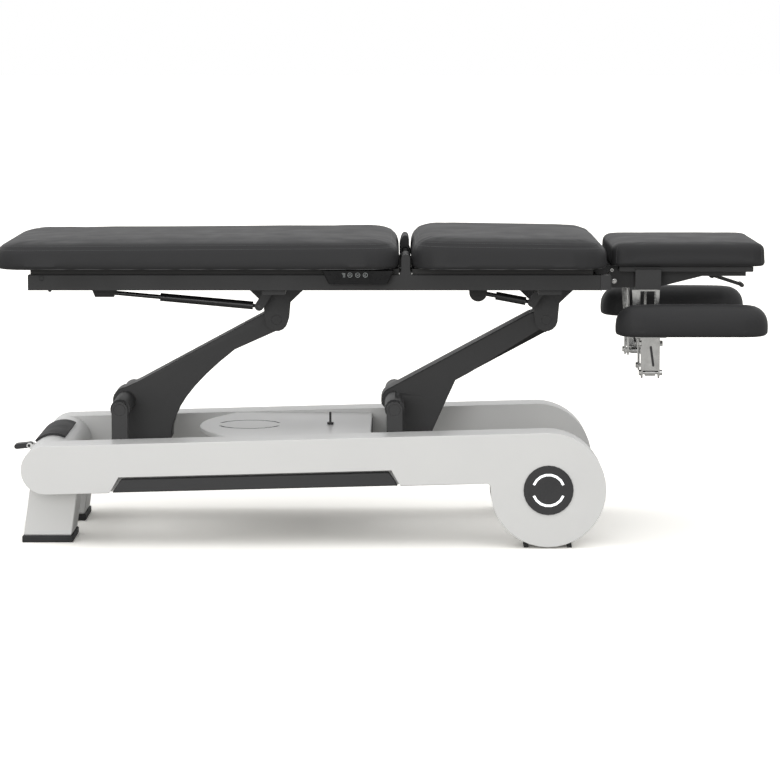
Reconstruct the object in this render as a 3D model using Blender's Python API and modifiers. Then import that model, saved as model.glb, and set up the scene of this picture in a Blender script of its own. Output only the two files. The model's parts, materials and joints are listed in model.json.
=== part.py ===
"""Electric massage table: parallelogram lift, three tilting sections and two swing-up armrests.

Metres, +Z up. X runs along the table from the foot end to the head end, Y across it.
The origin is on the floor, under the middle of the table's outline.
"""
import bmesh
import bpy
import math
from mathutils import Vector

# Fits
SEAT = 0.0004
RUNNING = 0.0003

# Upholstery
CUSHION_WIDTH = 0.700
CUSHION_CROWN = 0.004
CUSHION_SHOULDER = 0.042
CUSHION_HEM = 0.011
CUSHION_CORNER = 0.090
CUSHION_DRAW_IN = 0.004
LEG_THICKNESS = 0.072
LEG_LEAN = 0.0035
BACK_THICKNESS = 0.077
BACK_LEAN = -0.004
LEG_LENGTH = 1.055
SECTION_GAP = 0.031
BACK_LENGTH = 0.503
HEAD_GAP = 0.029
HEAD_LENGTH = 0.399
HEAD_WIDTH = 0.430
HEAD_THICKNESS = 0.060
HEAD_SHOULDER = 0.018
HEAD_CORNER = 0.032
HEAD_HEM = 0.006
GAP_STRIP_TOP = 0.059
GAP_STRIP_WALL = 0.004
GAP_STRIP_LEG = 0.018
GAP_STRIP_SPAN = (0.005, 0.150)

# Boards under the cushions
BOARD_THICKNESS = 0.015
BOARD_RECESS = 0.012
BOARD_END_INSET = 0.090
BACK_BOARD_INSET = 0.029
BOARD_HINGE_CLEAR = 0.017
HINGE_RISE = 0.0275
KNUCKLE_RADIUS = 0.011
KNUCKLE_LAP = 0.002
HINGE_PIN_RADIUS = 0.006
LEG_KNUCKLE = (0.200, 0.235)
BACK_KNUCKLE = (0.160, 0.195)
SECTION_LUG_THICKNESS = 0.008

# Lift linkage
PIVOT_HEIGHT = 0.353
ARM_LENGTH = 0.4635
ARM_REST_ANGLE = math.radians(28.3)
ARM_SPACING = 0.725
LEFT_CLEVIS_FROM_HINGE = 0.346
ARM_WIDTH = 0.090
ARM_BOSS_RADIUS = 0.036
ARM_HEAD_RADIUS = 0.030
ARM_HUB_RADIUS = 0.026
ARM_TRUNNION_RADIUS = 0.015
HEAD_TRUNNION_RADIUS = 0.013
CRANK_PIN = (0.037, -0.193)
CRANK_EYE_RADIUS = 0.032
CRANK_PIN_RADIUS = 0.006
CRANK_SLOT = 0.034
ARM_STEP_DEPTH = 0.012

# Top frame
CLEVIS_DROP = 0.100
RAIL_HEIGHT = 0.040
RAIL_WIDTH = 0.030
RAIL_OUTER = 0.285
RAIL_FOOT_INSET = 0.084
RAIL_HINGE_EAR = 0.0115
CROSSBAR_LENGTH = 0.060
CROSSBAR_HEIGHT = 0.054
CLEVIS_PLATE = 0.012
CLEVIS_TOP_LENGTH = 0.160
CLEVIS_WAIST = 0.070
CLEVIS_NOSE_RADIUS = 0.031
END_BAR_LENGTH = 0.030

# Gas springs under the sections
SPRING_Y = -0.105
SPRING_RADIUS = 0.011
SPRING_ROD_RADIUS = 0.006
SPRING_EYE_RADIUS = 0.012
SPRING_EYE_WIDTH = 0.012
SPRING_PIN_RADIUS = 0.005
LEG_SPRING_ROOT = (-0.044, 0.042)
LEG_SPRING_TIP = (-0.456, 0.080)
LEG_SPRING_BARREL = 0.265
BACK_SPRING_ROOT = (-0.041, 0.052)
BACK_SPRING_TIP = (-0.185, 0.079)
BACK_SPRING_BARREL = 0.098

# Base
BASE_WIDTH = 0.700
BEAM_THICKNESS = 0.100
BEAM_EDGE = 0.006
BEAM_TAIL_RADIUS = 0.064
BEAM_TAIL_HEIGHT = 0.207
BEAM_TAIL_FROM_PIVOT = 0.187
POD_RADIUS = 0.151
POD_HEIGHT = 0.155
POD_FROM_PIVOT = 0.402
BEAM_DEPTH_AT_POD = 0.134
BEAM_FILLET = 0.012
CAP_RADIUS = 0.065
CAP_DEPTH = 0.014
CAP_PROUD = 0.003
LIGHT_RADIUS = 0.041
LIGHT_WIDTH = 0.006
LIGHT_DEPTH = 0.005
LIGHT_ARC = math.radians(140)
FOOT_BAR_FOOT_END = 0.013
FOOT_BAR_HEAD_END = 0.009
FOOT_BAR_HEIGHT = 0.035
FOOT_BAR_DEPTH = 0.030
FOOT_BAR_SLANT = 0.024
FOOT_BAR_TRAVEL = 0.006
END_PAD_THICKNESS = 0.006
END_PAD_HALF_LENGTH = 0.140
END_PAD_ARC = (math.radians(62), math.radians(135))
EAR_WIDTH = 0.042
EAR_THICKNESS = 0.020
EAR_FOOT_HEIGHT = 0.185
DECK_TOP = 0.282
DECK_THICKNESS = 0.012
DECK_FOOT_END = 0.197
DECK_HEAD_END = 0.062
DECK_RAMP = 0.090
DECK_SLOT_RADIUS = 0.085
DECK_SLOT_WIDTH = 0.007
HOOK_HEIGHT = 0.034
MEMBER_LENGTH = 0.060
MEMBER_BELOW_PIN = 0.010
MEMBER_FROM_PIVOT = 0.090
BOX_SIZE = (0.200, 0.130, 0.065)
BOX_FROM_MEMBER = 0.050
BOX_FROM_BEAM = 0.060

# Feet
FOOT_LENGTH = 0.127
FOOT_DEPTH = 0.150
FOOT_TOP = 0.190
FOOT_SLANT = 0.024
FOOT_PAD_HEIGHT = 0.018
FOOT_PAD_MARGIN = 0.004
FOOT_FROM_TAIL = 0.006
POD_FOOT_SPREAD = 0.056
POD_FOOT_WIDTH = 0.011
POD_FOOT_DEPTH = 0.060
POD_FOOT_WEB = 0.003

# Lift actuator
ACTUATOR_RADIUS = 0.025
ACTUATOR_LENGTH = 0.330
ACTUATOR_ROD_RADIUS = 0.011
ACTUATOR_ROD_LENGTH = 0.365
ACTUATOR_EYE_WIDTH = 0.024
YOKE_WIDTH = 0.052
YOKE_PLAY = 0.0062
YOKE_RISE = 0.062
YOKE_WALL = 0.014
MOTOR_RADIUS = 0.030
MOTOR_LENGTH = 0.120

# Foot pedal
PEDAL_ANGLE = math.radians(155)
PEDAL_STANDOFF = 0.012
PEDAL_Y = -0.090
PEDAL_WIDTH = 0.030
PEDAL_LENGTH = 0.034
PEDAL_THICKNESS = 0.014
PEDAL_PIN_RADIUS = 0.004

# Keypad
KEYPAD_FROM_HINGE = (-0.218, -0.030)
KEYPAD_DEPTH = 0.036
KEYPAD_HEIGHT = 0.036
KEYPAD_SLOPE = 0.018
BUTTON_RADIUS = 0.0065
BUTTON_DEPTH = 0.008
BUTTON_PROUD = 0.0015
BUTTON_PITCH = 0.020
BUTTON_FROM_END = 0.073

# Head section
HEAD_HINGE_FROM_BACK = 0.0105
HEAD_KNUCKLE_RADIUS = 0.013
HEAD_PIN_RADIUS = 0.008
HEAD_KNUCKLE_HALF = 0.140
HEAD_LUG_THICKNESS = 0.014
HEAD_BOARD_HALF_WIDTH = 0.192
HEAD_BOARD_INSET = 0.028
WEDGE_DEPTH = 0.046
WEDGE_TIP_DEPTH = 0.015
WEDGE_HEEL = 0.012
WEDGE_FLAT = 0.124
WEDGE_RUN = 0.124
HEAD_BAR_LENGTH = 0.068
HEAD_BAR_HALF_WIDTH = 0.202
LEVER_FROM_TIP = 0.092
LEVER_WIDTH = 0.040
LEVER_LENGTH = 0.085
LEVER_THICKNESS = 0.008
LEVER_DROOP = math.radians(18)
LEVER_PIN_RADIUS = 0.004

# Armrests
ARMREST_LENGTH = 0.400
ARMREST_WIDTH = 0.130
ARMREST_THICKNESS = 0.080
ARMREST_TOP = 0.634
ARMREST_OUTER = 0.350
ARMREST_SHOULDER = 0.048
ARMREST_CORNER = 0.063
BRACKET_FROM_HINGE = 0.087
BRACKET_LENGTH = 0.048
BRACKET_PLATE = 0.004
BRACKET_DROP = 0.112
BRACKET_WIDTH = 0.034
BRACKET_WEB_SLOT = 0.003
HANGER_FLANGE = (0.018, 0.007)
LINK_SPACING = 0.077
LINK_TOP_DROP = 0.020
LINK_REACH = 0.105
LINK_RISE = 0.008
LINK_THICKNESS = 0.018
LINK_WIDTH = 0.026
LINK_PIN_RADIUS = 0.005
LINK_PIN_HEAD = 0.008

# Places along the table
LEFT_REACH = SECTION_GAP / 2 + LEG_LENGTH
RIGHT_REACH = SECTION_GAP / 2 + BACK_LENGTH + HEAD_GAP + HEAD_LENGTH
HINGE_X = (LEFT_REACH - RIGHT_REACH) / 2
FOOT_END_X = HINGE_X - LEFT_REACH
HEAD_END_X = HINGE_X + RIGHT_REACH
BACK_END_X = HINGE_X + SECTION_GAP / 2 + BACK_LENGTH
HEAD_HINGE_X = BACK_END_X + HEAD_HINGE_FROM_BACK
ARM_RUN = ARM_LENGTH * math.cos(ARM_REST_ANGLE)
ARM_RISE = ARM_LENGTH * math.sin(ARM_REST_ANGLE)
CLEVIS_X = {"left": HINGE_X - LEFT_CLEVIS_FROM_HINGE}
CLEVIS_X["right"] = CLEVIS_X["left"] + ARM_SPACING
PIVOT_X = {side: x - ARM_RUN for side, x in CLEVIS_X.items()}
TAIL_X = PIVOT_X["left"] - BEAM_TAIL_FROM_PIVOT
POD_X = PIVOT_X["right"] + POD_FROM_PIVOT
MEMBER_X = PIVOT_X["right"] - MEMBER_FROM_PIVOT

# Heights
CLEVIS_Z = PIVOT_HEIGHT + ARM_RISE
RAIL_BOTTOM = CLEVIS_Z + CLEVIS_DROP
RAIL_TOP = RAIL_BOTTOM + RAIL_HEIGHT
BOARD_BOTTOM = RAIL_TOP + SEAT
BOARD_TOP = BOARD_BOTTOM + BOARD_THICKNESS
BOARD_MIDDLE = (BOARD_BOTTOM + BOARD_TOP) / 2
CUSHION_BOTTOM = BOARD_TOP + SEAT
HINGE_Z = CUSHION_BOTTOM + HINGE_RISE
CROSSBAR_BOTTOM = RAIL_TOP - SEAT - CROSSBAR_HEIGHT

# Places across the table
BEAM_OUTER = BASE_WIDTH / 2
BEAM_INNER = BEAM_OUTER - BEAM_THICKNESS
RAIL_INNER = RAIL_OUTER - RAIL_WIDTH

for old in list(bpy.data.objects):
    bpy.data.objects.remove(old, do_unlink=True)


def new_collection(name):
    collection = bpy.data.collections.new(name)
    bpy.context.scene.collection.children.link(collection)
    return collection


PARTS = new_collection("electric_massage_table")
CUTTERS = new_collection("cutters")


def new_material(name, colour, roughness, metallic=0.0, glow=0.0):
    material = bpy.data.materials.new(name)
    material.use_nodes = True
    shader = material.node_tree.nodes["Principled BSDF"]
    shader.inputs["Base Color"].default_value = (*colour, 1.0)
    shader.inputs["Roughness"].default_value = roughness
    shader.inputs["Metallic"].default_value = metallic
    shader.inputs["Emission Color"].default_value = (*colour, 1.0)
    shader.inputs["Emission Strength"].default_value = glow
    material.diffuse_color = (*colour, 1.0)
    return material


WHITE = new_material("white_lacquer", (0.70, 0.70, 0.70), 0.35)
GREY = new_material("dark_grey_powder_coat", (0.050, 0.050, 0.050), 0.5)
LEATHER = new_material("anthracite_leatherette", (0.045, 0.045, 0.045), 0.55)
RUBBER = new_material("black_rubber", (0.012, 0.012, 0.012), 0.8)
PLASTIC = new_material("black_plastic", (0.020, 0.020, 0.020), 0.4)
CHROME = new_material("polished_steel", (0.75, 0.75, 0.75), 0.15, 1.0)
PLYWOOD = new_material("dark_stained_board", (0.030, 0.030, 0.030), 0.6)
LIGHT = new_material("light_guide", (0.90, 0.95, 1.00), 0.3, 0.0, 1.0)


def place(obj, collection):
    for owner in list(obj.users_collection):
        owner.objects.unlink(obj)
    collection.objects.link(obj)
    return obj


def hide(obj):
    obj.hide_render = True
    obj.display_type = "WIRE"
    return place(obj, CUTTERS)


def finish(obj, name, material, edge=0.0, segments=1, smooth_angle=35):
    """Name a piece, give it its material, a bevelled edge and smooth round faces."""
    obj.name = name
    obj.data.name = name
    obj.data.materials.clear()
    obj.data.materials.append(material)
    if edge > 0:
        bevel = obj.modifiers.new("edge", "BEVEL")
        bevel.width = edge
        bevel.segments = segments
        bevel.limit_method = "ANGLE"
        bevel.angle_limit = math.radians(40)
    obj.data.shade_smooth()
    obj.data.set_sharp_from_angle(angle=math.radians(smooth_angle))
    return place(obj, PARTS)


def combine(obj, other, operation):
    modifier = obj.modifiers.new(operation.lower(), "BOOLEAN")
    modifier.operation = operation
    modifier.object = hide(other)
    return obj


def fuse(obj, *others):
    for other in others:
        combine(obj, other, "UNION")
    return obj


def cut(obj, *others):
    for other in others:
        combine(obj, other, "DIFFERENCE")
    return obj


def box(x_span, y_span, z_span):
    """A box between two values along each axis."""
    spans = (x_span, y_span, z_span)
    bpy.ops.mesh.primitive_cube_add(size=1, location=[sum(span) / 2 for span in spans])
    obj = bpy.context.object
    obj.scale = [abs(span[1] - span[0]) for span in spans]
    bpy.ops.object.transform_apply(location=False, rotation=False, scale=True)
    return obj


def rod(start, end, radius, sides=16):
    """A cylinder between two points."""
    start, end = Vector(start), Vector(end)
    along = end - start
    bpy.ops.mesh.primitive_cylinder_add(vertices=sides, radius=radius, depth=along.length,
                                        location=(start + end) / 2)
    obj = bpy.context.object
    obj.rotation_euler = along.to_track_quat("Z", "Y").to_euler()
    return obj


def cross_rod(x, z, y_span, radius, sides=16):
    return rod((x, y_span[0], z), (x, y_span[1], z), radius, sides)


def arc(centre, radius, start, end, steps):
    """Points on an arc, with angles in radians."""
    angles = [start + (end - start) * step / steps for step in range(steps + 1)]
    return [(centre[0] + radius * math.cos(a), centre[1] + radius * math.sin(a)) for a in angles]


def bezier(start, control, end, steps):
    """Points on a curve with one control point."""
    points = []
    for step in range(steps + 1):
        t = step / steps
        points.append(tuple((1 - t) ** 2 * a + 2 * t * (1 - t) * b + t ** 2 * c
                            for a, b, c in zip(start, control, end)))
    return points


def plate(outline, span, facing="Y"):
    """A flat outline given thickness. Facing Y it is drawn in X and Z, facing X in Y and Z."""
    curve = bpy.data.curves.new("outline", "CURVE")
    curve.dimensions = "2D"
    curve.fill_mode = "BOTH"
    curve.extrude = abs(span[1] - span[0]) / 2
    spline = curve.splines.new("POLY")
    spline.points.add(len(outline) - 1)
    for point, (across, up) in zip(spline.points, outline):
        point.co = (across, up, 0, 1)
    spline.use_cyclic_u = True
    sketch = bpy.data.objects.new("outline", curve)
    middle = sum(span) / 2
    if facing == "Y":
        sketch.rotation_euler = (math.pi / 2, 0, 0)
        sketch.location = (0, middle, 0)
    elif facing == "X":
        sketch.rotation_euler = (math.pi / 2, 0, math.pi / 2)
        sketch.location = (middle, 0, 0)
    else:
        sketch.location = (0, 0, middle)
    bpy.context.scene.collection.objects.link(sketch)
    bpy.context.view_layer.update()
    evaluated = sketch.evaluated_get(bpy.context.evaluated_depsgraph_get())
    mesh = bpy.data.meshes.new_from_object(evaluated)
    shape = bmesh.new()
    shape.from_mesh(mesh)
    bmesh.ops.remove_doubles(shape, verts=shape.verts, dist=0.00001)
    bmesh.ops.recalc_face_normals(shape, faces=shape.faces)
    shape.to_mesh(mesh)
    shape.free()
    obj = bpy.data.objects.new("plate", mesh)
    bpy.context.scene.collection.objects.link(obj)
    obj.matrix_world = sketch.matrix_world.copy()
    bpy.data.objects.remove(sketch, do_unlink=True)
    bpy.data.curves.remove(curve)
    return obj


def capsule(start, end, radius, steps=6):
    """Outline of a bar with two round ends."""
    angle = math.atan2(end[1] - start[1], end[0] - start[0])
    tail = arc(start, radius, angle + math.pi / 2, angle + 3 * math.pi / 2, steps)
    nose = arc(end, radius, angle - math.pi / 2, angle + math.pi / 2, steps)
    return tail + nose


def ring_sector(centre, inner, outer, start, end, steps):
    return arc(centre, outer, start, end, steps) + arc(centre, inner, end, start, steps)


def side_span(side, inner, outer):
    """Y values from inner to outer on the near side (-Y) or the far side (+Y), low value first."""
    return (inner, outer) if side == "far" else (-outer, -inner)


SIDES = ("near", "far")
SIGN = {"near": -1, "far": 1}


# Joint empties
def joint_empty(name, point, parent=None):
    empty = bpy.data.objects.new(name, None)
    empty.empty_display_size = 0.05
    PARTS.objects.link(empty)
    empty.location = point
    if parent:
        bpy.context.view_layer.update()
        empty.parent = parent
        empty.matrix_parent_inverse = parent.matrix_world.inverted()
    bpy.context.view_layer.update()
    return empty


def carry(parent, *pieces):
    """Hang pieces on a joint's empty without moving them."""
    for piece in pieces:
        piece.parent = parent
        piece.matrix_parent_inverse = parent.matrix_world.inverted()


# Base: side beams
def beam_outline():
    """Round tail and round pod joined by their common tangent, with a fillet under the beam."""
    tail, pod = (TAIL_X, BEAM_TAIL_HEIGHT), (POD_X, POD_HEIGHT)
    run, rise = pod[0] - tail[0], pod[1] - tail[1]
    reach = math.hypot(run, rise)
    tangent = math.atan2(rise, run) + math.acos((BEAM_TAIL_RADIUS - POD_RADIUS) / reach)
    bottom_z = pod_top_z() - BEAM_DEPTH_AT_POD
    corner_x = pod[0] - math.sqrt((POD_RADIUS + BEAM_FILLET) ** 2 - (bottom_z - BEAM_FILLET - pod[1]) ** 2)
    fillet = (corner_x, bottom_z - BEAM_FILLET)
    meet = math.atan2(fillet[1] - pod[1], fillet[0] - pod[0])
    slope = math.atan2(bottom_z - (tail[1] - BEAM_TAIL_RADIUS), fillet[0] - tail[0])
    points = arc(tail, BEAM_TAIL_RADIUS, tangent, slope + 3 * math.pi / 2, 14)
    points += arc(fillet, BEAM_FILLET, slope + math.pi / 2, meet + math.pi - 2 * math.pi, 3)
    points += arc(pod, POD_RADIUS, meet % (2 * math.pi), tangent + 2 * math.pi, 30)
    return points


def pod_top_z():
    return POD_HEIGHT + POD_RADIUS


def beam_bottom(x):
    """Height of the beam's underside at x."""
    start, end = BEAM_TAIL_HEIGHT - BEAM_TAIL_RADIUS, pod_top_z() - BEAM_DEPTH_AT_POD
    share = (x - TAIL_X) / (POD_X - POD_RADIUS - TAIL_X)
    return start + (end - start) * share


def foot_bar_outline(grow, below):
    """Slanted-ended bar along the beam's lower edge; grow widens it for its slot."""
    low_x, high_x = PIVOT_X["left"] - FOOT_BAR_FOOT_END, PIVOT_X["right"] + FOOT_BAR_HEAD_END
    top = FOOT_BAR_HEIGHT + grow
    low_z, high_z = beam_bottom(low_x), beam_bottom(high_x)
    points = [(low_x - grow, low_z), (high_x + grow, high_z), (high_x + grow - FOOT_BAR_SLANT, high_z + top),
              (low_x - grow + FOOT_BAR_SLANT, low_z + top)]
    if below > 0:
        points[0:2] = [(low_x - grow, low_z), (low_x - grow, low_z - below),
                       (high_x + grow, high_z - below), (high_x + grow, high_z)]
    return points


def side_beam(side):
    beam = finish(plate(beam_outline(), side_span(side, BEAM_INNER, BEAM_OUTER)), "side_beam_" + side, WHITE,
                  edge=BEAM_EDGE, segments=2)
    slot_depth = side_span(side, BEAM_OUTER - FOOT_BAR_DEPTH, BEAM_OUTER + FOOT_BAR_DEPTH)
    slot = plate(foot_bar_outline(FOOT_BAR_TRAVEL + SEAT * 2, BEAM_TAIL_RADIUS), slot_depth)
    pocket = side_span(side, BEAM_OUTER + CAP_PROUD - CAP_DEPTH - SEAT, BEAM_OUTER + CAP_DEPTH)
    return cut(beam, slot, cross_rod(POD_X, POD_HEIGHT, pocket, CAP_RADIUS + SEAT, 28))


def foot_bar(side):
    """Pressed by the foot, it switches the lift; it hangs in the slot with its travel clear above."""
    outer = BEAM_OUTER - FOOT_BAR_TRAVEL
    span = side_span(side, BEAM_OUTER - FOOT_BAR_DEPTH + SEAT, outer)
    return finish(plate(foot_bar_outline(0, 0), span), "foot_bar_" + side, PLASTIC, edge=0.002)


# Base: pod caps and light rings
def pod_cap(side):
    outer = BEAM_OUTER + CAP_PROUD
    cap = finish(cross_rod(POD_X, POD_HEIGHT, side_span(side, outer - CAP_DEPTH, outer), CAP_RADIUS, 28),
                 "pod_cap_" + side, PLASTIC)
    groove = side_span(side, outer - CAP_DEPTH * 2, outer - CAP_DEPTH + LIGHT_DEPTH)
    inner_edge = LIGHT_RADIUS - LIGHT_WIDTH / 2 - SEAT
    outer_edge = LIGHT_RADIUS + LIGHT_WIDTH / 2 + SEAT
    channel = cross_rod(POD_X, POD_HEIGHT, groove, outer_edge, 20)
    cut(channel, cross_rod(POD_X, POD_HEIGHT, (-BASE_WIDTH, BASE_WIDTH), inner_edge, 20))
    cut(cap, channel)
    for start in (math.pi / 2, 3 * math.pi / 2):
        window = ring_sector((POD_X, POD_HEIGHT), inner_edge, outer_edge, start - LIGHT_ARC / 2,
                             start + LIGHT_ARC / 2, 7)
        cut(cap, plate(window, side_span(side, outer - CAP_DEPTH * 2, outer + CAP_DEPTH)))
    return cap


def light_ring(side):
    """Clear ring behind the cap with two raised arcs that fill the cap's windows."""
    outer = BEAM_OUTER + CAP_PROUD
    back = outer - CAP_DEPTH
    inner_edge, outer_edge = LIGHT_RADIUS - LIGHT_WIDTH / 2, LIGHT_RADIUS + LIGHT_WIDTH / 2
    ring = cross_rod(POD_X, POD_HEIGHT, side_span(side, back, back + LIGHT_DEPTH - SEAT), outer_edge, 20)
    finish(ring, "light_ring_" + side, LIGHT)
    cut(ring, cross_rod(POD_X, POD_HEIGHT, (-BASE_WIDTH, BASE_WIDTH), inner_edge, 20))
    trim = SEAT / LIGHT_RADIUS
    for start in (math.pi / 2, 3 * math.pi / 2):
        window = ring_sector((POD_X, POD_HEIGHT), inner_edge + SEAT / 2, outer_edge - SEAT / 2,
                             start - LIGHT_ARC / 2 + trim, start + LIGHT_ARC / 2 - trim, 7)
        fuse(ring, plate(window, side_span(side, back + LIGHT_DEPTH / 2, outer - SEAT)))
    return ring


# Base: end tube, step pad and pedal
def pedal_pivot():
    reach = BEAM_TAIL_RADIUS + PEDAL_STANDOFF
    return (TAIL_X + reach * math.cos(PEDAL_ANGLE), BEAM_TAIL_HEIGHT + reach * math.sin(PEDAL_ANGLE))


def end_tube():
    span = (-BEAM_INNER + RUNNING, BEAM_INNER - RUNNING)
    tube = finish(cross_rod(TAIL_X, BEAM_TAIL_HEIGHT, span, BEAM_TAIL_RADIUS, 28), "end_tube", WHITE)
    wall = BEAM_TAIL_RADIUS - 0.006
    cut(tube, cross_rod(TAIL_X, BEAM_TAIL_HEIGHT, (-BASE_WIDTH, BASE_WIDTH), wall, 16))
    pivot = pedal_pivot()
    root = (TAIL_X + (wall + 0.003) * math.cos(PEDAL_ANGLE),
            BEAM_TAIL_HEIGHT + (wall + 0.003) * math.sin(PEDAL_ANGLE))
    lug_radius = PEDAL_THICKNESS / 2
    for side in (-1, 1):
        face = PEDAL_Y + side * (PEDAL_WIDTH / 2 + SEAT)
        span = sorted((face, face + side * PEDAL_THICKNESS / 2))
        lug = plate(capsule(root, pivot, lug_radius, 4), span)
        cut(lug, cross_rod(*pivot, (-BASE_WIDTH, BASE_WIDTH), PEDAL_PIN_RADIUS + RUNNING, 10))
        fuse(tube, lug)
    return tube


def end_pad():
    """Rubber step pad bent over the end tube."""
    inner = BEAM_TAIL_RADIUS + SEAT
    outline = ring_sector((TAIL_X, BEAM_TAIL_HEIGHT), inner, inner + END_PAD_THICKNESS, *END_PAD_ARC, 10)
    span = (-END_PAD_HALF_LENGTH, END_PAD_HALF_LENGTH)
    return finish(plate(outline, span), "end_pad", RUBBER, edge=0.002)


def foot_pedal():
    pivot = pedal_pivot()
    tip = (pivot[0] - PEDAL_LENGTH, pivot[1] - PEDAL_THICKNESS / 4)
    span = (PEDAL_Y - PEDAL_WIDTH / 2, PEDAL_Y + PEDAL_WIDTH / 2)
    pedal = finish(plate(capsule(pivot, tip, PEDAL_THICKNESS / 2, 6), span), "foot_pedal", PLASTIC)
    pin_half = PEDAL_WIDTH / 2 + SEAT + PEDAL_THICKNESS / 2
    return fuse(pedal, cross_rod(*pivot, (PEDAL_Y - pin_half, PEDAL_Y + pin_half), PEDAL_PIN_RADIUS, 10))


# Base: pivot ears, cross member, deck and control box
def pivot_ear(arm, side):
    x = PIVOT_X[arm]
    half = EAR_WIDTH / 2
    outline = [(x - half, EAR_FOOT_HEIGHT), (x + half, EAR_FOOT_HEIGHT)]
    outline += arc((x, PIVOT_HEIGHT), half, 0, math.pi, 8)
    inner = BEAM_INNER - RUNNING - EAR_THICKNESS
    ear = finish(plate(outline, side_span(side, inner, inner + EAR_THICKNESS)),
                 "pivot_ear_%s_%s" % (arm, side), GREY)
    return cut(ear, cross_rod(x, PIVOT_HEIGHT, (-BASE_WIDTH, BASE_WIDTH), ARM_TRUNNION_RADIUS + RUNNING, 16))


def crank_pin():
    return (PIVOT_X["left"] + CRANK_PIN[0], PIVOT_HEIGHT + CRANK_PIN[1])


def actuator_root():
    return (MEMBER_X - MEMBER_LENGTH / 2 - ACTUATOR_RADIUS - SEAT, crank_pin()[1])


def cross_member():
    """Box beam between the side beams; its two lugs hold the lift actuator."""
    x_span = (MEMBER_X - MEMBER_LENGTH / 2, MEMBER_X + MEMBER_LENGTH / 2)
    y_span = (-BEAM_INNER + RUNNING, BEAM_INNER - RUNNING)
    root = actuator_root()
    z_span = (root[1] - MEMBER_BELOW_PIN, DECK_TOP - DECK_THICKNESS - SEAT)
    member = finish(box(x_span, y_span, z_span), "cross_member", GREY, edge=0.003)
    for side in (-1, 1):
        face = side * (ACTUATOR_EYE_WIDTH / 2 + SEAT)
        span = sorted((face, face + side * 0.010))
        outline = capsule((MEMBER_X, root[1]), root, ACTUATOR_RADIUS * 0.7, 4)
        lug = plate(outline, span)
        cut(lug, cross_rod(*root, (-BASE_WIDTH, BASE_WIDTH), LINK_PIN_RADIUS + RUNNING, 10))
        fuse(member, lug)
    return member


def deck_cover():
    """Moulded deck between the beams, round at the foot end, with a ring of two slots and a small hook."""
    low_x = PIVOT_X["left"] + DECK_FOOT_END
    high_x = PIVOT_X["right"] - DECK_HEAD_END
    half = BEAM_INNER - RUNNING
    outline = [(high_x, -half), (high_x, half), (low_x + DECK_RAMP, half)]
    outline += bezier((low_x + DECK_RAMP, half), (low_x - DECK_RAMP, 0), (low_x + DECK_RAMP, -half), 10)[1:]
    deck = finish(plate(outline, (DECK_TOP - DECK_THICKNESS, DECK_TOP), "Z"), "deck_cover", WHITE, edge=0.002)
    centre = (low_x + DECK_RAMP * 1.5, 0)
    for start in (math.pi / 2, 3 * math.pi / 2):
        slot = ring_sector(centre, DECK_SLOT_RADIUS - DECK_SLOT_WIDTH / 2, DECK_SLOT_RADIUS + DECK_SLOT_WIDTH / 2,
                           start - LIGHT_ARC / 2, start + LIGHT_ARC / 2, 7)
        cut(deck, plate(slot, (DECK_TOP - DECK_THICKNESS * 2, DECK_TOP + DECK_THICKNESS), "Z"))
    hook_x = MEMBER_X - MEMBER_LENGTH * 1.4
    base = rod((hook_x, 0, DECK_TOP - DECK_THICKNESS / 2), (hook_x, 0, DECK_TOP + 0.006), 0.009, 16)
    stem = rod((hook_x, 0, DECK_TOP), (hook_x, 0, DECK_TOP + HOOK_HEIGHT), 0.003, 12)
    return fuse(deck, base, stem)


def control_box():
    high_x = MEMBER_X - MEMBER_LENGTH / 2 - BOX_FROM_MEMBER
    top = DECK_TOP - DECK_THICKNESS - SEAT
    y_high = BEAM_INNER - BOX_FROM_BEAM
    spans = ((high_x - BOX_SIZE[0], high_x), (y_high - BOX_SIZE[1], y_high), (top - BOX_SIZE[2], top))
    return finish(box(*spans), "control_box", PLASTIC, edge=0.004, segments=2)


# Base: feet
def foot(side):
    low_x = TAIL_X - BEAM_TAIL_RADIUS - FOOT_FROM_TAIL
    outline = [(low_x, FOOT_PAD_HEIGHT + SEAT), (low_x + FOOT_LENGTH, FOOT_PAD_HEIGHT + SEAT),
               (low_x + FOOT_LENGTH + FOOT_SLANT, FOOT_TOP), (low_x + FOOT_SLANT, FOOT_TOP)]
    outer = BEAM_INNER - RUNNING
    leg = finish(plate(outline, side_span(side, outer - FOOT_DEPTH, outer)), "foot_" + side, WHITE, edge=0.003)
    clear = BEAM_TAIL_RADIUS + SEAT
    return cut(leg, cross_rod(TAIL_X, BEAM_TAIL_HEIGHT, (-BASE_WIDTH, BASE_WIDTH), clear, 32))


def foot_pad(side):
    low_x = TAIL_X - BEAM_TAIL_RADIUS - FOOT_FROM_TAIL - FOOT_PAD_MARGIN
    outer = BEAM_INNER - RUNNING + FOOT_PAD_MARGIN
    y_span = side_span(side, outer - FOOT_DEPTH - FOOT_PAD_MARGIN * 2, outer)
    spans = ((low_x, low_x + FOOT_LENGTH + FOOT_PAD_MARGIN * 2), y_span, (0, FOOT_PAD_HEIGHT))
    return finish(box(*spans), "foot_pad_" + side, RUBBER, edge=0.002)


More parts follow.
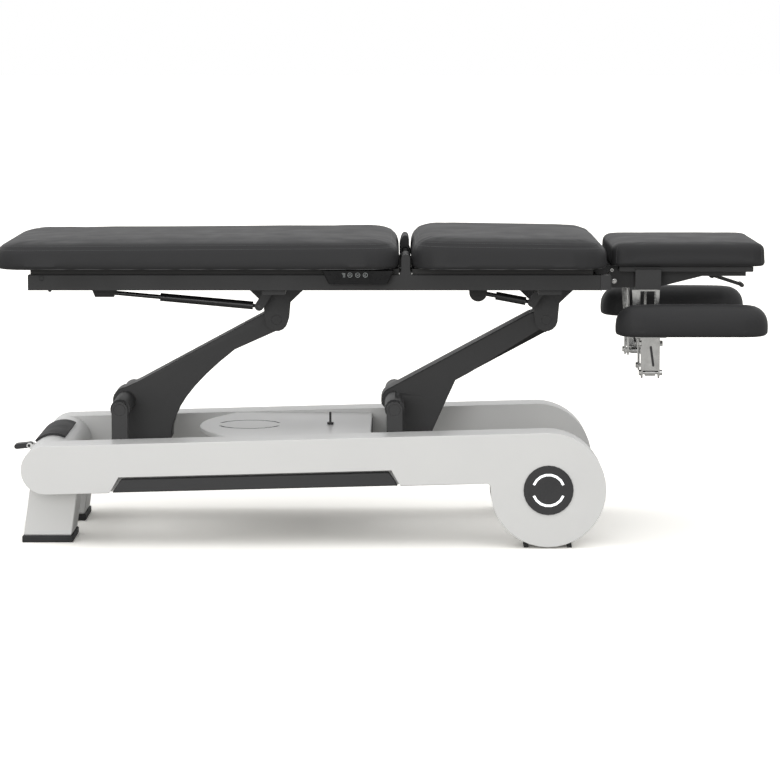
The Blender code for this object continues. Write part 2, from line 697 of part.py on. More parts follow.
def pod_foot(side):
    """Rubber shoe under the pod: a thin web with a stud at each end that meets the round pod."""
    radius = POD_RADIUS + SEAT
    inner, outer = POD_FOOT_SPREAD - POD_FOOT_WIDTH / 2, POD_FOOT_SPREAD + POD_FOOT_WIDTH / 2

    def pod_z(offset):
        return POD_HEIGHT - math.sqrt(radius ** 2 - offset ** 2)

    splay = POD_FOOT_WEB / 2
    outline = [(POD_X - outer - splay, 0), (POD_X + outer + splay, 0),
               (POD_X + outer, pod_z(outer)), (POD_X + inner, pod_z(inner)), (POD_X + inner, POD_FOOT_WEB),
               (POD_X - inner, POD_FOOT_WEB), (POD_X - inner, pod_z(inner)), (POD_X - outer, pod_z(outer))]
    middle = BEAM_OUTER - BEAM_THICKNESS / 2
    span = side_span(side, middle - POD_FOOT_DEPTH / 2, middle + POD_FOOT_DEPTH / 2)
    return finish(plate(outline, span), "pod_foot_" + side, RUBBER)


# Lift arms
def arm_point(arm, along, across):
    """A point given along and across the arm, in X and Z."""
    cosine, sine = math.cos(ARM_REST_ANGLE), math.sin(ARM_REST_ANGLE)
    return (PIVOT_X[arm] + along * cosine - across * sine, PIVOT_HEIGHT + along * sine + across * cosine)


def left_arm_outline():
    """Slim arm whose curved gusset runs down into a crank below the pivot."""
    pin = crank_pin()
    top, bottom = ARM_HEAD_RADIUS, -ARM_HEAD_RADIUS * 0.6
    pivot = (PIVOT_X["left"], PIVOT_HEIGHT)
    head = (CLEVIS_X["left"], CLEVIS_Z)
    points = arc(head, ARM_HEAD_RADIUS, ARM_REST_ANGLE - 0.64 * math.pi, ARM_REST_ANGLE + math.pi / 2, 9)
    points.append(arm_point("left", ARM_BOSS_RADIUS * 1.6, top))
    points += arc(pivot, ARM_BOSS_RADIUS, ARM_REST_ANGLE + 0.36 * math.pi, 1.10 * math.pi, 7)
    points += arc(pin, CRANK_EYE_RADIUS, 1.05 * math.pi, 1.95 * math.pi, 8)
    gusset = bezier(arm_point("left", 0.059, -0.148), arm_point("left", 0.105, -0.055),
                    arm_point("left", 0.325, bottom), 8)
    return points + gusset


def right_arm_outline():
    """Deeper arm with a short heel below the pivot."""
    top, bottom = ARM_BOSS_RADIUS, -ARM_HEAD_RADIUS
    pivot = (PIVOT_X["right"], PIVOT_HEIGHT)
    head = (CLEVIS_X["right"], CLEVIS_Z)
    points = arc(head, ARM_HEAD_RADIUS, ARM_REST_ANGLE - math.pi / 2, ARM_REST_ANGLE + math.pi / 3, 8)
    points.append(arm_point("right", ARM_LENGTH - ARM_HEAD_RADIUS, top))
    points += arc(pivot, ARM_BOSS_RADIUS, ARM_REST_ANGLE + math.pi / 2, 1.08 * math.pi, 6)
    heel = (pivot[0] + 0.060, pivot[1] - 0.105)
    points += arc(heel, 0.020, 1.15 * math.pi, 1.85 * math.pi, 4)
    points += bezier(arm_point("right", 0.0495, -0.123), arm_point("right", 0.118, -0.070),
                     arm_point("right", 0.171, bottom), 5)
    return points


def lift_arm(arm):
    """Box arm with a cross hub and trunnions at the base, and trunnions in the clevis at the top."""
    outline = left_arm_outline() if arm == "left" else right_arm_outline()
    body = finish(plate(outline, (-ARM_WIDTH / 2, ARM_WIDTH / 2)), "lift_arm_" + arm, GREY, edge=0.004)
    pivot = (PIVOT_X[arm], PIVOT_HEIGHT)
    hub_half = BEAM_INNER - RUNNING - EAR_THICKNESS - SEAT
    journal_half = hub_half + EAR_THICKNESS
    fuse(body, cross_rod(*pivot, (-hub_half, hub_half), ARM_HUB_RADIUS, 16))
    fuse(body, cross_rod(*pivot, (-journal_half, journal_half), ARM_TRUNNION_RADIUS, 16))
    top_half = ARM_WIDTH / 2 + SEAT * 2 + CLEVIS_PLATE
    fuse(body, cross_rod(CLEVIS_X[arm], CLEVIS_Z, (-top_half, top_half), HEAD_TRUNNION_RADIUS, 16))
    if arm == "left":
        slot_top = PIVOT_HEIGHT + CRANK_PIN[1] / 2
        x_span = (pivot[0] - ARM_LENGTH, pivot[0] + ARM_LENGTH)
        cut(body, box(x_span, (-CRANK_SLOT / 2, CRANK_SLOT / 2), (0, slot_top)))
        fuse(body, cross_rod(*crank_pin(), (-ARM_WIDTH / 3, ARM_WIDTH / 3), CRANK_PIN_RADIUS, 12))
    else:
        step = [arm_point(arm, 0.200, -ARM_HEAD_RADIUS * 1.02), arm_point(arm, 0.445, -ARM_HEAD_RADIUS * 0.5),
                arm_point(arm, 0.445, -ARM_HEAD_RADIUS * 2), arm_point(arm, 0.200, -ARM_HEAD_RADIUS * 2)]
        for side in SIDES:
            cut(body, plate(step, side_span(side, ARM_WIDTH / 2 - ARM_STEP_DEPTH, ARM_WIDTH)))
    return body


# Lift actuator
def actuator_direction():
    root = actuator_root()
    pin = crank_pin()
    length = math.hypot(pin[0] - root[0], pin[1] - root[1])
    return root, ((pin[0] - root[0]) / length, (pin[1] - root[1]) / length), length


def lift_actuator():
    """Spindle tube with its motor lying beside it and an eye at the cross member."""
    root, way, _ = actuator_direction()

    def at(distance, y=0.0):
        return (root[0] + way[0] * distance, y, root[1] + way[1] * distance)

    start = ACTUATOR_RADIUS * 1.2
    body = finish(rod(at(start), at(ACTUATOR_LENGTH), ACTUATOR_RADIUS), "lift_actuator", PLASTIC, edge=0.002)
    neck = plate(capsule(root, at(start * 1.6)[::2], ACTUATOR_RADIUS * 0.6, 8),
                 (-ACTUATOR_EYE_WIDTH / 2, ACTUATOR_EYE_WIDTH / 2))
    motor_y = -(ACTUATOR_RADIUS + MOTOR_RADIUS * 0.7)
    motor = rod(at(start * 1.5, motor_y), at(start * 1.5 + MOTOR_LENGTH, motor_y), MOTOR_RADIUS)
    pin_half = ACTUATOR_EYE_WIDTH / 2 + SEAT + 0.010
    fuse(body, neck, motor, cross_rod(*root, (-pin_half, pin_half), LINK_PIN_RADIUS, 10))
    return cut(body, rod(at(start * 1.4), at(ACTUATOR_LENGTH * 1.2), ACTUATOR_ROD_RADIUS + RUNNING))


def lift_rod():
    root, way, length = actuator_direction()

    def at(distance):
        return (root[0] + way[0] * distance, 0, root[1] + way[1] * distance)

    piece = finish(rod(at(length - ACTUATOR_ROD_LENGTH), at(length - YOKE_WIDTH / 4), ACTUATOR_ROD_RADIUS),
                   "lift_rod", CHROME)
    x, z = crank_pin()
    play = CRANK_PIN_RADIUS + YOKE_PLAY
    low, high = (x, z - CRANK_PIN_RADIUS), (x, z - CRANK_PIN_RADIUS + YOKE_RISE)
    half = ACTUATOR_EYE_WIDTH / 2
    yoke = plate(capsule(low, high, play + YOKE_WALL, 8), (-half, half))
    fuse(piece, yoke)
    return cut(piece, plate(capsule(low, high, play, 8), (-half * 2, half * 2)))


# Top frame
def rail(side):
    """Side rail with a tall rounded ear that holds the section hinge pin; the far pin reaches to the middle."""
    low_x, high_x = FOOT_END_X + RAIL_FOOT_INSET, BACK_END_X - RAIL_HEIGHT / 4
    outline = [(low_x, RAIL_BOTTOM), (high_x, RAIL_BOTTOM), (high_x, RAIL_TOP)]
    outline += [(HINGE_X + RAIL_HINGE_EAR, RAIL_TOP)]
    outline += arc((HINGE_X, HINGE_Z), RAIL_HINGE_EAR, 0, math.pi, 12)
    outline += [(HINGE_X - RAIL_HINGE_EAR, RAIL_TOP), (low_x, RAIL_TOP)]
    bar = finish(plate(outline, side_span(side, RAIL_INNER, RAIL_OUTER)), "rail_" + side, GREY, edge=0.002)
    pin_end = BACK_KNUCKLE[0] - SEAT * 5 if side == "near" else 0.0
    pin = side_span(side, pin_end, RAIL_OUTER - RAIL_WIDTH / 2)
    return fuse(bar, cross_rod(HINGE_X, HINGE_Z, pin, HINGE_PIN_RADIUS, 12))


def spring_places(section):
    """Fixed and moving ends of a section's gas spring, and its direction."""
    arm = "left" if section == "leg" else "right"
    root_offset, tip_offset = ((LEG_SPRING_ROOT, LEG_SPRING_TIP) if section == "leg"
                               else (BACK_SPRING_ROOT, BACK_SPRING_TIP))
    root = (CLEVIS_X[arm] + root_offset[0], CLEVIS_Z + root_offset[1])
    tip = (CLEVIS_X[arm] + tip_offset[0], CLEVIS_Z + tip_offset[1])
    length = math.hypot(tip[0] - root[0], tip[1] - root[1])
    way = ((tip[0] - root[0]) / length, (tip[1] - root[1]) / length)
    return root, tip, way, length


def spring_lug_span():
    high = SPRING_Y - SPRING_EYE_WIDTH / 2 - SEAT
    return (high - SECTION_LUG_THICKNESS, high)


def arm_crossbar(arm):
    """Crossbar with the two clevis plates for an arm and the lug that holds a gas spring."""
    x = CLEVIS_X[arm]
    half = RAIL_INNER - RUNNING
    bar = finish(box((x - CROSSBAR_LENGTH / 2, x + CROSSBAR_LENGTH / 2), (-half, half),
                     (CROSSBAR_BOTTOM, CROSSBAR_BOTTOM + CROSSBAR_HEIGHT)), "arm_crossbar_" + arm, GREY)
    waist_z = CLEVIS_Z + (RAIL_BOTTOM - CLEVIS_Z) * 0.45
    top_z = CROSSBAR_BOTTOM + CROSSBAR_HEIGHT / 3
    half_top, half_waist = CLEVIS_TOP_LENGTH / 2, CLEVIS_WAIST / 2
    outline = [(x + half_waist, waist_z), (x + half_top, RAIL_BOTTOM - CLEVIS_PLATE), (x + half_top, top_z),
               (x - half_top, top_z), (x - half_top, RAIL_BOTTOM - CLEVIS_PLATE), (x - half_waist, waist_z)]
    outline += arc((x, CLEVIS_Z), CLEVIS_NOSE_RADIUS, math.pi * 1.05, math.pi * 1.95, 7)
    inner = ARM_WIDTH / 2 + SEAT * 2
    for side in SIDES:
        cheek = plate(outline, side_span(side, inner, inner + CLEVIS_PLATE))
        cut(cheek, cross_rod(x, CLEVIS_Z, (-BASE_WIDTH, BASE_WIDTH), HEAD_TRUNNION_RADIUS + RUNNING, 16))
        fuse(bar, cheek)
    root = spring_places("leg" if arm == "left" else "back")[0]
    lug = plate(capsule(root, (x, CROSSBAR_BOTTOM + CROSSBAR_HEIGHT / 2), SPRING_EYE_RADIUS, 6), spring_lug_span())
    cut(lug, cross_rod(*root, (-BASE_WIDTH, BASE_WIDTH), SPRING_PIN_RADIUS + RUNNING, 10))
    return fuse(bar, lug)


def end_bar(end):
    half = RAIL_INNER - RUNNING
    z_span = (RAIL_BOTTOM, RAIL_TOP - SEAT)
    if end == "foot":
        low_x = FOOT_END_X + RAIL_FOOT_INSET
        return finish(box((low_x, low_x + END_BAR_LENGTH), (-half, half), z_span), "end_bar_foot", GREY, edge=0.002)
    high_x = HEAD_HINGE_X - HEAD_KNUCKLE_RADIUS * 2
    bar = finish(box((high_x - END_BAR_LENGTH, high_x), (-half, half), z_span), "end_bar_head", GREY, edge=0.002)
    lug_outline = capsule((high_x - END_BAR_LENGTH / 2, (RAIL_BOTTOM + RAIL_TOP) / 2), (HEAD_HINGE_X, BOARD_MIDDLE),
                          HEAD_KNUCKLE_RADIUS, 6)
    inner = HEAD_KNUCKLE_HALF + SEAT
    for side in SIDES:
        lug = plate(lug_outline, side_span(side, inner, inner + HEAD_LUG_THICKNESS))
        cut(lug, cross_rod(HEAD_HINGE_X, BOARD_MIDDLE, (-BASE_WIDTH, BASE_WIDTH), HEAD_PIN_RADIUS + RUNNING, 16))
        fuse(bar, lug)
    return bar


# Keypad
def keypad_faces():
    outer = -(RAIL_OUTER + RUNNING + KEYPAD_DEPTH)
    top = CUSHION_BOTTOM - SEAT * 2
    return outer, top


def button_centre(index):
    _, top = keypad_faces()
    low_x = HINGE_X + KEYPAD_FROM_HINGE[0]
    return (low_x + BUTTON_FROM_END + BUTTON_PITCH * index, top - KEYPAD_HEIGHT * 0.32)


def keypad_housing():
    """Moulded housing on the near rail, slanted at both ends, with a pocket for each button."""
    outer, top = keypad_faces()
    low_x, high_x = HINGE_X + KEYPAD_FROM_HINGE[0], HINGE_X + KEYPAD_FROM_HINGE[1]
    bottom = top - KEYPAD_HEIGHT
    outline = [(low_x + KEYPAD_SLOPE, bottom), (high_x - KEYPAD_SLOPE, bottom), (high_x, top), (low_x, top)]
    housing = finish(plate(outline, (outer, outer + KEYPAD_DEPTH)), "keypad_housing", PLASTIC, edge=0.002)
    for index in range(3):
        x, z = button_centre(index)
        span = (outer - BUTTON_DEPTH, outer + BUTTON_DEPTH + BUTTON_PROUD)
        cut(housing, cross_rod(x, z, span, BUTTON_RADIUS + RUNNING, 16))
    return housing


def keypad_button(index):
    outer, _ = keypad_faces()
    x, z = button_centre(index)
    span = (outer - BUTTON_PROUD, outer + BUTTON_DEPTH - BUTTON_PROUD)
    return finish(cross_rod(x, z, span, BUTTON_RADIUS, 16), "keypad_button_%d" % (index + 1), PLASTIC)


# Sections
def soft_form(x_span, y_span, z_span, shoulder, hem, corner, crown, draw_in, lean=0.0, runs=(6, 4)):
    """Crowned pad: a box cut into strips, rounded at shoulder, hem and corners and drawn in at the sides.

    Lean makes the pad thicker towards +X and thinner towards -X.
    """
    spans = (x_span, y_span, z_span)
    half = [(span[1] - span[0]) / 2 for span in spans]
    middle = [(span[1] + span[0]) / 2 for span in spans]
    shape = bmesh.new()
    bmesh.ops.create_cube(shape, size=2)
    bmesh.ops.scale(shape, vec=half, verts=shape.verts)
    reach = max(shoulder, corner)
    planes = []
    for axis in (0, 1):
        edges = [reach * share for share in (0.0, 0.25, 0.55, 1.0)]
        inner = half[axis] - reach
        steps = [-inner + 2 * inner * step / runs[axis] for step in range(1, runs[axis])]
        planes += [(axis, -half[axis] + edge) for edge in edges[1:]]
        planes += [(axis, half[axis] - edge) for edge in edges[1:]]
        planes += [(axis, step) for step in steps]
    planes += [(2, -half[2] + hem * share) for share in (0.5, 1.0)]
    planes += [(2, half[2] - shoulder * share) for share in (0.3, 0.65, 1.0)]
    for axis, value in planes:
        normal = [0, 0, 0]
        normal[axis] = 1
        point = [0, 0, 0]
        point[axis] = value
        parts = list(shape.verts) + list(shape.edges) + list(shape.faces)
        bmesh.ops.bisect_plane(shape, geom=parts, plane_co=point, plane_no=normal)
    for vert in shape.verts:
        share = max(0.0, vert.co.z / half[2])
        slope = lean * share * vert.co.x / half[0]
        vert.co = soften(vert.co, half, shoulder, hem, corner, crown, draw_in)
        vert.co += Vector((middle[0], middle[1], middle[2] + slope))
    bmesh.ops.recalc_face_normals(shape, faces=shape.faces)
    mesh = bpy.data.meshes.new("soft_form")
    shape.to_mesh(mesh)
    shape.free()
    obj = bpy.data.objects.new("soft_form", mesh)
    bpy.context.scene.collection.objects.link(obj)
    return obj


def soften(point, half, shoulder, hem, corner, crown, draw_in):
    """Move one point of the box onto the pad's rounded surface."""
    x, y, z = point
    share_x, share_y = x / half[0], y / half[1]
    lift = crown * (1 - share_x ** 4) * (1 - share_y ** 4) if z > 0 else 0.0
    for radius, sign in ((shoulder, 1), (hem, -1)):
        inset = max(0, abs(x) - half[0] + radius), max(0, abs(y) - half[1] + radius)
        side, rise = max(inset), max(0, sign * z - half[2] + radius)
        if side > 0 and rise > 0:
            pull = max(side, rise) / math.hypot(side, rise)
            if inset[0] > 0:
                x = math.copysign(half[0] - radius + inset[0] * pull, x)
            if inset[1] > 0:
                y = math.copysign(half[1] - radius + inset[1] * pull, y)
            z = sign * (half[2] - radius + rise * pull)
    over = max(0, abs(x) - half[0] + corner), max(0, abs(y) - half[1] + corner)
    if over[0] > 0 and over[1] > 0:
        pull = max(over) / math.hypot(*over)
        x = math.copysign(half[0] - corner + over[0] * pull, x)
        y = math.copysign(half[1] - corner + over[1] * pull, y)
    waist = max(0.0, 1 - (z / half[2]) ** 2)
    y -= math.copysign(draw_in, y) * (1 - share_x ** 4) * waist * share_y ** 4
    return Vector((x, y, z + lift * (z / half[2]) if z > 0 else z))


def cushion(section, x_span):
    """Leg, back or head cushion; the head cushion is narrower and boxier."""
    thickness, lean = {"leg": (LEG_THICKNESS, LEG_LEAN), "back": (BACK_THICKNESS, BACK_LEAN),
                       "head": (HEAD_THICKNESS, 0.0)}[section]
    z_span = (CUSHION_BOTTOM, CUSHION_BOTTOM + thickness)
    width, rounding, runs = CUSHION_WIDTH, (CUSHION_SHOULDER, CUSHION_HEM, CUSHION_CORNER), (5, 3)
    if section == "head":
        width, rounding, runs = HEAD_WIDTH, (HEAD_SHOULDER, HEAD_HEM, HEAD_CORNER), (3, 3)
    pad = soft_form(x_span, (-width / 2, width / 2), z_span, *rounding, CUSHION_CROWN, CUSHION_DRAW_IN, lean, runs)
    return finish(pad, section + "_cushion", LEATHER, smooth_angle=60)


def section_board(section):
    """Board under a cushion, with hinge knuckles and the lug that the gas spring lifts."""
    if section == "leg":
        x_span = (FOOT_END_X + BOARD_END_INSET, HINGE_X - BOARD_HINGE_CLEAR)
        knuckle, direction = LEG_KNUCKLE, -1
    else:
        x_span = (HINGE_X + BOARD_HINGE_CLEAR, BACK_END_X - BACK_BOARD_INSET)
        knuckle, direction = BACK_KNUCKLE, 1
    outer = RAIL_OUTER - BOARD_RECESS
    board = finish(box(x_span, (-outer, outer), (BOARD_BOTTOM, BOARD_TOP)), section + "_board", PLYWOOD)
    hole = cross_rod(HINGE_X, HINGE_Z, (-BASE_WIDTH, BASE_WIDTH), HINGE_PIN_RADIUS + RUNNING, 12)
    low_z, high_z = BOARD_BOTTOM + KNUCKLE_LAP, BOARD_TOP - KNUCKLE_LAP
    strap = [(BOARD_HINGE_CLEAR * 2, low_z), (-KNUCKLE_RADIUS, low_z)]
    strap += arc((0, HINGE_Z), KNUCKLE_RADIUS, math.pi, 0, 8)
    strap += [(KNUCKLE_RADIUS, high_z), (BOARD_HINGE_CLEAR * 2, high_z)]
    outline = [(HINGE_X + direction * across, up) for across, up in strap]
    for side in SIDES:
        fuse(board, plate(outline, side_span(side, *knuckle)))
    cut(board, hole)
    x, z = spring_places(section)[1]
    eye = SPRING_EYE_RADIUS
    if section == "leg":
        outline = [(x - eye * 2.1, z - eye * 1.05), (x + eye * 2.1, z - eye * 1.05), (x + eye * 2.7, z + eye * 0.4),
                   (x + eye * 2.7, BOARD_MIDDLE), (x - eye * 2.7, BOARD_MIDDLE), (x - eye * 2.7, z + eye * 0.4)]
    else:
        outline = arc((x, z), eye * 2, math.pi, 2 * math.pi, 12)
        outline += [(x + eye * 2, BOARD_MIDDLE), (x - eye * 2, BOARD_MIDDLE)]
    return fuse(board, plate(outline, spring_lug_span()))


def gas_spring(section):
    """Barrel pinned to the crossbar lug, and the rod that lifts the section's lug."""
    root, tip, way, length = spring_places(section)
    barrel_length = LEG_SPRING_BARREL if section == "leg" else BACK_SPRING_BARREL

    def at(distance):
        return (root[0] + way[0] * distance, SPRING_Y, root[1] + way[1] * distance)

    eye_span = (SPRING_Y - SPRING_EYE_WIDTH / 2, SPRING_Y + SPRING_EYE_WIDTH / 2)
    lug = spring_lug_span()
    barrel_start = SPRING_EYE_RADIUS * 1.4
    barrel = finish(rod(at(barrel_start), at(barrel_length), SPRING_RADIUS, 12),
                    section + "_spring_barrel", PLASTIC)
    fuse(barrel, rod(at(0), at(barrel_start * 1.1), SPRING_PIN_RADIUS, 8))
    fuse(barrel, cross_rod(*root, eye_span, SPRING_EYE_RADIUS, 12))
    fuse(barrel, cross_rod(*root, (lug[0], SPRING_Y), SPRING_PIN_RADIUS, 10))
    bore_start = SPRING_EYE_RADIUS * 2
    cut(barrel, rod(at(bore_start), at(barrel_length * 1.3), SPRING_ROD_RADIUS + RUNNING, 12))
    stroke_rest = length - barrel_length
    rod_start = max(bore_start + 0.004, barrel_length - stroke_rest * 1.5)
    push = finish(rod(at(rod_start), at(length), SPRING_ROD_RADIUS, 12), section + "_spring_rod", CHROME)
    fuse(push, cross_rod(*tip, eye_span, SPRING_EYE_RADIUS, 12))
    return barrel, push


def gap_strip():
    """Soft strip folded over the far hinge pin, which fills the gap between the cushions."""
    inner = HINGE_PIN_RADIUS + SEAT
    outer = inner + GAP_STRIP_WALL
    low, top = HINGE_Z - GAP_STRIP_LEG, CUSHION_BOTTOM + GAP_STRIP_TOP
    outline = arc((HINGE_X, top - outer), outer, 0, math.pi, 10) + [(HINGE_X - outer, low), (HINGE_X - inner, low)]
    outline += arc((HINGE_X, HINGE_Z), inner, math.pi, 0, 10) + [(HINGE_X + inner, low), (HINGE_X + outer, low)]
    return finish(plate(outline, side_span("far", *GAP_STRIP_SPAN)), "gap_strip", LEATHER)


# Head section
def head_frame():
    """Board and wedge-shaped frame under the head cushion, hinged at its heel, with the armrest crossbar."""
    board_low = HEAD_HINGE_X + HEAD_KNUCKLE_RADIUS * 2.6
    board_high = HEAD_END_X - HEAD_BOARD_INSET
    half = HEAD_BOARD_HALF_WIDTH
    frame = finish(box((board_low, board_high), (-half, half), (BOARD_BOTTOM, BOARD_TOP)), "head_frame", GREY,
                   edge=0.002)
    top = BOARD_BOTTOM + BOARD_THICKNESS / 2
    heel = HEAD_HINGE_X + WEDGE_HEEL
    deep, shallow = BOARD_BOTTOM - WEDGE_DEPTH, BOARD_BOTTOM - WEDGE_TIP_DEPTH
    outline = [(heel, top), (heel, deep), (heel + WEDGE_FLAT, deep), (heel + WEDGE_FLAT + WEDGE_RUN, shallow),
               (board_high - HEAD_BOARD_INSET / 2, shallow), (board_high - HEAD_BOARD_INSET / 2, top)]
    fuse(frame, plate(outline, (-HEAD_KNUCKLE_HALF, HEAD_KNUCKLE_HALF)))
    knuckle_span = (-HEAD_KNUCKLE_HALF, HEAD_KNUCKLE_HALF)
    fuse(frame, cross_rod(HEAD_HINGE_X, BOARD_MIDDLE, knuckle_span, HEAD_KNUCKLE_RADIUS, 16))
    tongue = box((HEAD_HINGE_X, board_low + 0.005), (-HEAD_KNUCKLE_HALF + 0.001, HEAD_KNUCKLE_HALF - 0.001),
                 (BOARD_MIDDLE - HEAD_KNUCKLE_RADIUS * 0.8, BOARD_MIDDLE + HEAD_KNUCKLE_RADIUS * 0.4))
    pin_half = HEAD_KNUCKLE_HALF + SEAT + HEAD_LUG_THICKNESS
    fuse(frame, tongue, cross_rod(HEAD_HINGE_X, BOARD_MIDDLE, (-pin_half, pin_half), HEAD_PIN_RADIUS, 16))
    bar_low = HEAD_HINGE_X + BRACKET_FROM_HINGE - (HEAD_BAR_LENGTH - BRACKET_LENGTH) / 2
    bar = box((bar_low, bar_low + HEAD_BAR_LENGTH), (-HEAD_BAR_HALF_WIDTH, HEAD_BAR_HALF_WIDTH), (deep, top))
    fuse(frame, bar)
    lever_x, lever_z = lever_pivot()
    for side in (-1, 1):
        face = side * (LEVER_WIDTH / 2 + SEAT)
        span = sorted((face, face + side * 0.006))
        lug = plate(capsule((lever_x, lever_z), (lever_x, shallow + 0.006), 0.008, 5), span)
        cut(lug, cross_rod(lever_x, lever_z, (-1, 1), LEVER_PIN_RADIUS + RUNNING, 10))
        fuse(frame, lug)
    return frame


def lever_pivot():
    return (HEAD_END_X - HEAD_BOARD_INSET - LEVER_FROM_TIP, BOARD_BOTTOM - WEDGE_TIP_DEPTH - LEVER_THICKNESS)


def head_lever():
    """Release paddle for the head section's lock."""
    x, z = lever_pivot()
    knob = (x + LEVER_LENGTH * math.cos(LEVER_DROOP), z - LEVER_LENGTH * math.sin(LEVER_DROOP))
    span = (-LEVER_WIDTH / 2, LEVER_WIDTH / 2)
    lever = finish(plate(capsule((x, z), knob, LEVER_THICKNESS / 2, 4), span), "head_lever", PLASTIC)
    pin_half = LEVER_WIDTH / 2 + SEAT + 0.006
    fuse(lever, cross_rod(x, z, (-pin_half, pin_half), LEVER_PIN_RADIUS, 10))
    grip_span = (-LEVER_WIDTH * 0.7, LEVER_WIDTH * 0.7)
    return fuse(lever, cross_rod(*knob, grip_span, LEVER_THICKNESS * 0.75, 12))


# Armrests
def armrest_levels():
    """Pad underside, and the Y and Z of the linkage's pins on the near side: outer and inner, upper and lower."""
    under = ARMREST_TOP - ARMREST_THICKNESS
    outer_y = ARMREST_OUTER - ARMREST_WIDTH / 2
    upper = under - LINK_TOP_DROP
    inner_y = outer_y - LINK_REACH
    pins = {}
    for name, z in (("upper", upper), ("lower", upper - LINK_SPACING)):
        pins[name] = ((inner_y, z + LINK_RISE), (outer_y, z))
    return under, pins


def bracket_x():
    low = HEAD_HINGE_X + BRACKET_FROM_HINGE
    return low, low + BRACKET_LENGTH


def link_pin(y, z):
    """Headed pin along X through both plates of a bracket or hanger."""
    low, high = bracket_x()
    shank = rod((low - SEAT, y, z), (high + SEAT, y, z), LINK_PIN_RADIUS, 12)
    head = rod((high - SEAT, y, z), (high + LINK_PIN_HEAD, y, z), LINK_PIN_RADIUS * 1.5, 8)
    nut = rod((low - LINK_PIN_HEAD * 0.7, y, z), (low + SEAT, y, z), LINK_PIN_RADIUS * 1.5, 6)
    return shank, head, nut


def bracket_plates(y, top, bottom, taper):
    """The two plates of a bracket or hanger, narrowing to a round foot."""
    low, high = bracket_x()
    half = BRACKET_WIDTH / 2
    outline = [(y + half, top), (y - half, top)]
    outline += arc((y, bottom + half * taper), half * taper, math.pi, 2 * math.pi, 6)
    plates = []
    for x_low in (low, high - BRACKET_PLATE):
        plates.append(plate(outline, (x_low, x_low + BRACKET_PLATE), "X"))
    return plates


def armrest_hanger(side):
    """Two bright plates under the head frame's crossbar, joined by a cap plate and the inner pins."""
    _, pins = armrest_levels()
    sign = SIGN[side]
    low, high = bracket_x()
    inner_y = sign * pins["upper"][0][0]
    top = BOARD_BOTTOM - WEDGE_DEPTH - SEAT
    half = BRACKET_WIDTH / 2
    hanger = finish(box((low, high), (inner_y - half, inner_y + half), (top - BRACKET_PLATE, top)),
                    "armrest_hanger_" + side, CHROME)
    bottom = pins["lower"][0][1] - half * 0.8
    fuse(hanger, *bracket_plates(inner_y, top - SEAT, bottom, 0.8))
    face = side_span(side, abs(inner_y) + half - BRACKET_PLATE, abs(inner_y) + half)
    flange_low = pins["upper"][0][1]
    left, right = HANGER_FLANGE
    for outline in ([(low - left, top - SEAT), (low + SEAT, top - SEAT), (low + SEAT, flange_low),
                     (low - left / 2, flange_low)],
                    [(high - SEAT, top - SEAT), (high + right, top - SEAT), (high + right / 2, flange_low),
                     (high - SEAT, flange_low)]):
        fuse(hanger, plate(outline, face))
    for name in ("upper", "lower"):
        fuse(hanger, *link_pin(inner_y, pins[name][0][1]))
    return hanger


def armrest_bracket(side):
    """Cap plate under the pad, two hanging plates and the outer pins."""
    under, pins = armrest_levels()
    sign = SIGN[side]
    low, high = bracket_x()
    outer_y = sign * pins["upper"][1][0]
    top = under - SEAT
    half = BRACKET_WIDTH / 2
    margin = BRACKET_LENGTH / 3
    bracket = finish(box((low - margin, high + margin), (outer_y - half * 1.2, outer_y + half * 1.2),
                         (top - BRACKET_PLATE, top)), "armrest_bracket_" + side, CHROME)
    fuse(bracket, *bracket_plates(outer_y, top - SEAT, under - BRACKET_DROP, 0.8))
    face = side_span(side, abs(outer_y) + half - BRACKET_PLATE, abs(outer_y) + half)
    web_low, web_high = pins["lower"][1][1] + half * 0.4, top - SEAT
    web = box((low + SEAT, high - SEAT), face, (web_low, web_high))
    middle = (low + high) / 2
    slot_ends = ((middle + half * 0.4, web_low + half * 0.8), (middle, web_high - half * 1.6))
    cut(web, plate(capsule(*slot_ends, BRACKET_WEB_SLOT), (-BASE_WIDTH, BASE_WIDTH)))
    fuse(bracket, web)
    for name in ("upper", "lower"):
        fuse(bracket, *link_pin(outer_y, pins[name][1][1]))
    return bracket


def armrest_link(side, level):
    _, pins = armrest_levels()
    sign = SIGN[side]
    inner, outer = pins[level]
    low, high = bracket_x()
    middle = (low + high) / 2
    ends = [(sign * inner[0], inner[1]), (sign * outer[0], outer[1])]
    link = plate(capsule(*ends, LINK_THICKNESS / 2, 5), (middle - LINK_WIDTH / 2, middle + LINK_WIDTH / 2), "X")
    finish(link, "armrest_link_%s_%s" % (level, side), CHROME)
    for y, z in ends:
        cut(link, rod((low - 0.1, y, z), (high + 0.1, y, z), LINK_PIN_RADIUS + RUNNING, 12))
    return link


def armrest_pad(side):
    low_x = HEAD_END_X - ARMREST_LENGTH
    y_span = side_span(side, ARMREST_OUTER - ARMREST_WIDTH, ARMREST_OUTER)
    pad = soft_form((low_x, HEAD_END_X), y_span, (ARMREST_TOP - ARMREST_THICKNESS, ARMREST_TOP), ARMREST_SHOULDER,
                    CUSHION_HEM, ARMREST_CORNER, CUSHION_CROWN / 2, CUSHION_DRAW_IN / 2, runs=(4, 1))
    return finish(pad, "armrest_pad_" + side, LEATHER, smooth_angle=60)


